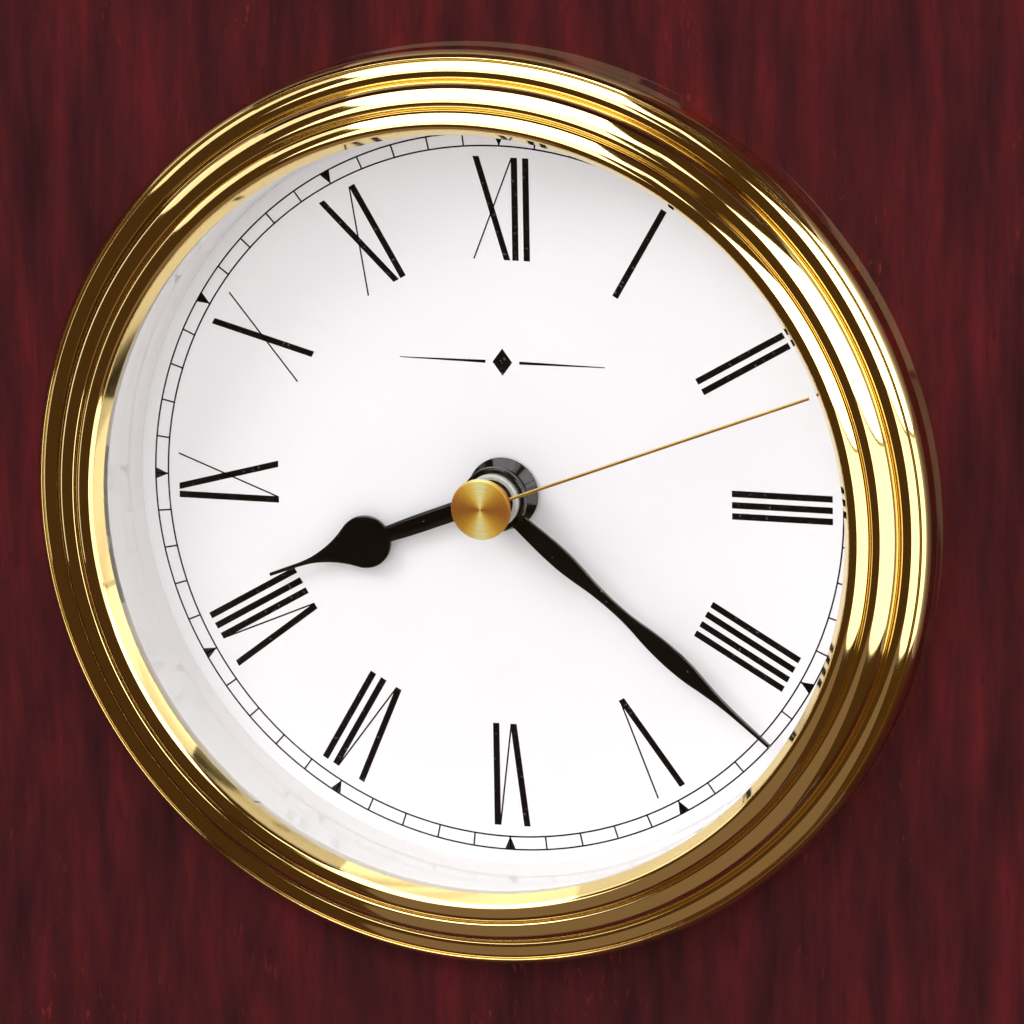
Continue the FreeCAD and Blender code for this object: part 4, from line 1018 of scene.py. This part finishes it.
class Stroke(NamedTuple):
    """One straight stroke of a numeral: where it crosses the head and foot lines, and how broad it is."""

    head: float
    foot: float
    broad: bool = True


def bars(*places: float) -> tuple[Stroke, ...]:
    """Upright broad strokes at these places."""
    return tuple(Stroke(x, x) for x in places)


@dataclass
class Dial:
    """White dial with a printed minute track and Roman numerals, in a white flange under flat glass."""

    relief: float = 0.02
    sunk: float = 0.01
    head: float = 36.75
    foot: float = 25.5
    broad: float = 0.70
    fine: float = 0.17
    track: Pair = (37.97, 39.40)
    line: float = 0.17
    marker: float = 0.62
    numerals: tuple = (
        (Stroke(-2.63, 0.73), Stroke(1.40, -3.00, False)) + bars(1.67, 2.94),
        bars(0.0),
        bars(-0.64, 0.64),
        bars(-1.25, 0.0, 1.22),
        bars(-1.98, -0.73, 0.54, 1.77),
        (Stroke(-1.29, 0.0), Stroke(1.88, 0.17, False)),
        (Stroke(-1.96, -0.56), Stroke(1.08, -0.33, False)) + bars(1.38),
        (Stroke(-1.90, -0.50), Stroke(1.12, -0.25, False)) + bars(1.44, 2.77),
        (Stroke(-2.54, -1.08), Stroke(0.58, -0.80, False)) + bars(0.83, 2.08, 3.35),
        bars(-2.19) + (Stroke(-1.31, 1.75), Stroke(2.33, -1.92, False)),
        (Stroke(-1.42, 1.48), Stroke(2.30, -2.10, False)),
        (Stroke(-1.96, 1.12), Stroke(1.70, -2.54, False)) + bars(2.02),
    )
    flange_steps: tuple = ((40.9, 0.0), (43.1, 0.0), (43.1, 9.7), (41.5, 9.7))
    flange_soft: float = 0.15
    flange_segments: int = 256
    ornament_height: float = 14.3
    lozenge_half: Pair = (1.1, 1.5)
    line_ends: Pair = (1.9, 11.5)
    line_halves: Pair = (0.16, 0.04)
    circle_steps: int = 720

    def build(self) -> None:
        """Builds the printing and flange and dresses plate, glass, cup and grip ring."""
        self.numeral_ring()
        self.minute_track()
        self.ornament()
        flange = dial_ring(self.flange_steps, self.flange_soft, self.flange_segments)
        piece("flange", flange, GLOSS_WHITE, "case", ["flange_ring"])
        dress_nodes(DIAL_WHITE, "dial_plate")
        dress_nodes(GLASS, "lens")
        dress_nodes(BLACK_ABS, "insert_cup")
        dress_nodes(RUBBER, "grip_ring")

    def printed(self, name: str, quads: np.ndarray) -> None:
        """Prints four-cornered patches on the dial as a thin layer of ink."""
        surface = raised(quads, -self.sunk, self.relief)
        piece(name, surface, INK, "case", crease=20)

    def numeral_ring(self) -> None:
        """Twelve numerals, each stroke a slanted bar cut level at the head and foot lines."""
        for hour, strokes in enumerate(self.numerals):
            table = np.array([(s.head, s.foot, self.broad if s.broad else self.fine) for s in strokes])
            head, foot, width = table[:, 0], table[:, 1], table[:, 2] / 2
            x = np.stack([foot - width, foot + width, head + width, head - width], axis=1)
            y = np.broadcast_to([self.foot, self.foot, self.head, self.head], x.shape)
            quads = clockwise(np.stack([x, y], axis=-1), 30.0 * hour)
            self.printed(f"numeral_{hour or 12}", quads)

    def minute_track(self) -> None:
        """Two circles with sixty lines between them, and a pointed marker every fifth minute."""
        low, high = self.track
        half = self.line / 2
        a = np.radians(np.linspace(0, 360, self.circle_steps + 1))
        radii = np.array([(r - half, r + half) for r in (low, high)])
        around = np.stack([np.sin(a), np.cos(a)], axis=1)
        rings = [np.stack([around[:-1] * r0, around[1:] * r0, around[1:] * r1, around[:-1] * r1], axis=1)
                 for r0, r1 in radii]
        tick = np.array([(-half, low), (half, low), (half, high), (-half, high)])
        marker = np.array([(0.0, low), (0.0, low), (self.marker, high), (-self.marker, high)])
        ticks = [clockwise(tick, 6.0 * k)[None] for k in range(60)]
        markers = [clockwise(marker, 30.0 * k)[None] for k in range(12)]
        self.printed("minute_track", np.concatenate(rings + ticks))
        self.printed("five_minute_markers", np.concatenate(markers))

    def ornament(self) -> None:
        """Plain lozenge between two tapering lines, where a maker would sign."""
        y = self.ornament_height
        across, up = self.lozenge_half
        lozenge = np.array([(0.0, y - up), (across, y), (0.0, y + up), (-across, y)])
        (near, far), (thick, thin) = self.line_ends, self.line_halves
        line = np.array([(near, y - thick), (far, y - thin), (far, y + thin), (near, y + thick)])
        quads = np.stack([lozenge, line, line[::-1] * np.array([-1, 1])])
        self.printed("lozenge_and_lines", quads)


@dataclass
class Hand:
    """Flat hand blanked from sheet: half widths at places along it, with softened upper edges."""

    places: tuple[float, ...]
    half_widths: tuple[float, ...]
    low: float
    high: float
    angle: float
    edge: float = 0.1
    rows: int = 160
    widest_bevel: float = 0.35
    crown: float = 0.3

    def half_width(self, y: np.ndarray) -> np.ndarray:
        """Half width along the hand, an eased curve through the given places."""
        return eased(np.array(self.places), np.array(self.half_widths), y)

    def blade(self) -> Surface:
        """Section of eight points carried along the hand: square below, softened and crowned above."""
        y = np.linspace(self.places[0], self.places[-1], self.rows)
        w = self.half_width(y)
        bevel = np.minimum(self.edge, self.widest_bevel * w)
        inner = w - bevel
        x = np.stack([-w, w, w, inner, 0.5 * inner, -0.5 * inner, -inner, -w], axis=1)
        side, shoulder = self.high - bevel, self.high - self.crown * bevel
        under, top = np.full_like(y, self.low), np.full_like(y, self.high)
        z = np.stack([under, under, side, shoulder, top, top, shoulder, side], axis=1)
        points = np.stack([x, np.repeat(y[:, None], 8, axis=1), z], axis=-1)
        placed = Stand.FRONT.place(clockwise(points, self.angle), DIAL_CENTRE)
        return grid(placed, round_columns=True).with_caps(len(y), 8)


@dataclass
class Spade(Hand):
    """Hour hand: a plain stem into a round bulb, and a hollow-sided point."""

    bulb_at: float = 16.4
    bulb_radius: float = 2.86
    bulb_from: float = 13.72
    bulb_to: float = 17.6

    def half_width(self, y: np.ndarray) -> np.ndarray:
        """The eased curve, and at the bulb a circle: root of radius squared less height squared."""
        circle = np.sqrt(np.maximum(self.bulb_radius**2 - (y - self.bulb_at) ** 2, 0.01))
        inside = (y > self.bulb_from) & (y < self.bulb_to)
        return np.where(inside, circle, super().half_width(y))


@dataclass
class Hands:
    """Hour, minute and second hands with their hubs, the open nut and the turned cap."""

    hour: Spade = field(default_factory=lambda: Spade(
        places=(3.0, 8.0, 10.0, 12.0, 13.7, 13.73, 17.6, 18.0, 19.0, 20.0, 21.0, 22.0, 23.0, 24.2, 26.0,
                28.0),
        half_widths=(1.02, 1.0, 0.99, 0.94, 0.87, 0.88, 2.60, 2.40, 1.77, 1.26, 0.86, 0.56, 0.34, 0.22, 0.19,
                     0.17),
        low=1.3, high=1.8, angle=248.8, rows=360))
    minute: Hand = field(default_factory=lambda: Hand(
        places=(3.0, 6.0, 8.5, 10.0, 12.0, 14.0, 16.5, 18.0, 20.0, 22.0, 24.0, 25.5, 28.0, 30.0, 32.0, 34.0,
                37.0, 39.6),
        half_widths=(0.80, 1.0, 1.10, 1.09, 0.92, 0.67, 0.515, 0.51, 0.62, 0.87, 1.03, 1.07, 0.96, 0.69, 0.44,
                     0.30, 0.215, 0.17),
        low=3.4, high=3.9, angle=129.9))
    second: Hand = field(default_factory=lambda: Hand(
        places=(1.0, 20.0, 39.2), half_widths=(0.17, 0.165, 0.16), low=7.6, high=7.9, angle=69.1, edge=0.06,
        rows=12))
    hub_soft: float = 0.08
    hub_segments: int = 96
    hour_hub: tuple = ((2.5, 0.45), (3.95, 0.45), (3.95, 0.6), (2.9, 1.2), (2.9, 2.0), (2.5, 2.0))
    minute_hub: tuple = ((1.7, 3.1), (3.4, 3.1), (3.55, 3.25), (3.55, 3.75), (3.4, 3.9), (1.7, 3.9))
    nut: tuple = ((2.4, 3.9), (2.95, 3.9), (2.95, 4.55), (2.8, 4.7), (2.4, 4.7))
    second_pipe: tuple = ((0.7, 5.2), (1.2, 5.2), (1.2, 7.9), (0.7, 7.9))
    cap_soft: float = 0.1
    cap_segments: int = 128
    cap: tuple = ((0.0, 7.9), (3.15, 7.9), (3.3, 8.05), (3.3, 8.5), (3.15, 8.65), (0.0, 8.65))

    def build(self) -> None:
        """Builds the three hands, the nut and the cap."""
        self.hand("hour_spade", self.hour, self.hour_hub, BLACK_LACQUER, "hours", "black_lacquer",
                  "hour_hand")
        self.hand("minute_leaf", self.minute, self.minute_hub, BLACK_LACQUER, "minutes", "black_lacquer",
                  "minute_hand")
        self.hand("second_baton", self.second, self.second_pipe, GILT, "seconds", "gilt", "second_hand")
        nut = dial_ring(self.nut, self.hub_soft, self.hub_segments)
        piece("open_nut", nut, SATIN_NICKEL, "minutes", ["hand_nut"])
        outline = softened(np.array(self.cap), self.cap_soft, closed=False)
        cap = turned(outline, Stand.FRONT, DIAL_CENTRE, self.cap_segments)
        piece("turned_cap", cap, TURNED_CAP, "seconds", ["second_hand_cap"])

    def hand(self, name: str, hand: Hand, hub: tuple, finish: Finish, body: str, slot: str,
             node_name: str) -> None:
        """One hand: its blade and the turned hub that it sits on."""
        ring = dial_ring(hub, self.hub_soft, self.hub_segments)
        piece(name, joined([hand.blade(), ring]), finish, body, [node_name])


class Movement:
    """Quartz movement behind the dial, seen through the open door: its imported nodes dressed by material."""

    finishes = (
        (ACETAL, ("seconds_wheel", "intermediate_wheel", "third_wheel", "centre_wheel", "cannon_pinion",
                  "minute_wheel", "hour_wheel")),
        (BLACK_ABS, ("setting_knob", "movement_front_shell", "movement_back_shell", "middle_plate",
                     "coil_bobbin")),
        (ZINC, ("movement_screws", "quartz_crystal")),
        (MOTOR_IRON, ("stator", "rotor")),
        (COPPER_WIRE, ("coil_winding",)),
        (SOLDER_MASK, ("circuit_board",)),
        (BATTERY_JACKET, ("battery",)),
        (NICKEL, ("battery_contacts",)),
    )

    def build(self) -> None:
        """Dresses every node of the movement."""
        for finish, names in self.finishes:
            dress_nodes(finish, *names)


# ---- Studio ---------------------------------------------------------------------------------------------


def towards(azimuth: float, elevation: float) -> Vector:
    """Direction from the clock: azimuth 0 is straight in front and grows to the right, both in degrees."""
    a, e = math.radians(azimuth), math.radians(elevation)
    return Vector((math.sin(a) * math.cos(e), -math.cos(a) * math.cos(e), math.sin(e)))


@dataclass(frozen=True)
class Softbox:
    """Lamp with an even face, turned to the dial.

    It stands at an azimuth and elevation in degrees and a distance in metres, and is sized in metres. It
    may light surfaces, be mirrored by them, or both; spin turns it about its own direction, in degrees.
    """

    name: str
    azimuth: float
    elevation: float
    distance: float
    width: float
    height: float
    radiance: float
    lights: bool = True
    mirrored: bool = True
    tint: str = "#ffffff"
    spin: float = 0.0

    def build(self) -> None:
        """Adds the lamp; its power is its radiance times its area times pi."""
        lamp = bpy.data.lights.new(self.name, "AREA")
        lamp.shape = "RECTANGLE"
        lamp.size, lamp.size_y = self.width, self.height
        lamp.energy = self.radiance * math.pi * self.width * self.height
        lamp.color = linear(self.tint)[:3]
        made = added(self.name, lamp)
        direction = towards(self.azimuth, self.elevation)
        made.location = DIAL_CENTRE + direction * self.distance
        made.rotation_mode = "QUATERNION"
        spin = Quaternion((0, 0, 1), math.radians(self.spin))
        made.rotation_quaternion = direction.to_track_quat("Z", "Y") @ spin
        made.visible_camera = False
        made.visible_diffuse = self.lights
        made.visible_glossy = self.mirrored
        made.visible_transmission = False


@dataclass
class Studio:
    """Pale floor, soft lamps and the camera.

    The brass mirrors one set of lamps and the clock is lit by another, so that its bands and its shadows
    are set apart from each other.
    """

    lens: float = 773.4
    sensor: float = 36.0
    camera_azimuth: float = 17.93
    camera_elevation: float = 13.10
    camera_distance: float = 2.3565
    axis_azimuth: float = 17.911
    axis_elevation: float = 13.1515
    roll: float = 0.96
    clip: Pair = (0.1, 200.0)
    floor_half: float = 60.0
    pale_strength: float = 0.84
    dim_strength: float = 0.5
    boxes: tuple[Softbox, ...] = (
        Softbox("right_low", 72, -14, 1.5, 2.9, 0.95, 2.2, lights=False),
        Softbox("right_high", 68, 23, 1.5, 2.6, 1.0, 3.6, lights=False),
        Softbox("overhead", -45, 70, 1.4, 1.15, 2.6, 3.6, lights=False, spin=45),
        Softbox("front_top", -18, 22, 1.6, 0.8, 0.6, 2.5, lights=False),
        Softbox("front_strip", 17, 42, 1.6, 0.2, 0.4, 2.5, lights=False),
        Softbox("left_strip", -98, 6, 1.5, 0.2, 1.4, 1.2, lights=False),
        Softbox("left_glow", -86, 38, 1.5, 1.1, 0.9, 1.3, lights=False),
        Softbox("low_glow", 4, -64, 1.2, 1.3, 2.2, 0.19, lights=False, tint="#f0d8c8"),
        Softbox("key", -38, 38, 1.7, 0.7, 0.7, 7.0, mirrored=False),
        Softbox("front_fill", 5, 22, 2.0, 1.4, 1.4, 1.7, mirrored=False),
    )

    def build(self) -> None:
        """Builds floor, world, lamps and camera."""
        self.floor()
        self.world()
        for box in self.boxes:
            box.build()
        self.camera()
        bpy.context.scene.view_settings.view_transform = "Standard"
        bpy.context.scene.view_settings.look = "None"

    def floor(self) -> None:
        """Plain pale floor, left out of reflections so that the lacquer stays deep."""
        s = self.floor_half
        corners = np.array([[(-s, -s, 0.0), (s, -s, 0.0)], [(-s, s, 0.0), (s, s, 0.0)]])
        surface = grid(corners)
        mesh = bpy.data.meshes.new("floor")
        mesh.from_pydata(surface.points.tolist(), [], [face[::-1] for face in surface.faces])
        mesh.materials.append(BACKDROP_PAPER.material())
        made = added("floor", mesh)
        made.visible_glossy = False

    def world(self) -> None:
        """Even pale surroundings, dim where a mirror looks."""
        world = bpy.data.worlds.new("studio")
        world.use_nodes = True
        tree = world.node_tree
        tree.nodes.clear()
        path = node(tree, "LightPath")
        pale = node(tree, "Background", {"Color": "#ebeaf0", "Strength": self.pale_strength})
        dim = node(tree, "Background", {"Color": "#6a4e30", "Strength": self.dim_strength})
        mixed = node(tree, "MixShader", {}, {"Fac": (path, "Is Glossy Ray"), 1: pale, 2: dim})
        node(tree, "OutputWorld", {}, {"Surface": mixed})
        bpy.context.scene.world = world

    def camera(self) -> None:
        """Long lens from the right and a little above, turned a degree clockwise."""
        data = bpy.data.cameras.new("camera")
        data.lens, data.sensor_width = self.lens, self.sensor
        data.clip_start, data.clip_end = self.clip
        made = added("camera", data)
        place = towards(self.camera_azimuth, self.camera_elevation)
        made.location = DIAL_CENTRE + self.camera_distance * place
        back = towards(self.axis_azimuth, self.axis_elevation)
        level = Vector((0, 0, 1)).cross(back).normalized()
        upright = back.cross(level)
        a = math.radians(self.roll)
        up = upright * math.cos(a) + level * math.sin(a)
        right = up.cross(back)
        turn = Matrix((right, up, back)).transposed()
        made.rotation_mode = "QUATERNION"
        made.rotation_quaternion = turn.to_quaternion()
        bpy.context.scene.camera = made


def main() -> None:
    """Builds the clock's sub-assemblies in order, then the studio."""
    logging.basicConfig(level=logging.INFO, format="%(name)s: %(message)s")
    for assembly in (CaseWork(), Handle(), RearDoor(), Bezel(), Dial(), Hands(), Movement(), Studio()):
        LOG.info("%s", type(assembly).__name__)
        assembly.build()


if __name__ == "__main__":
    main()
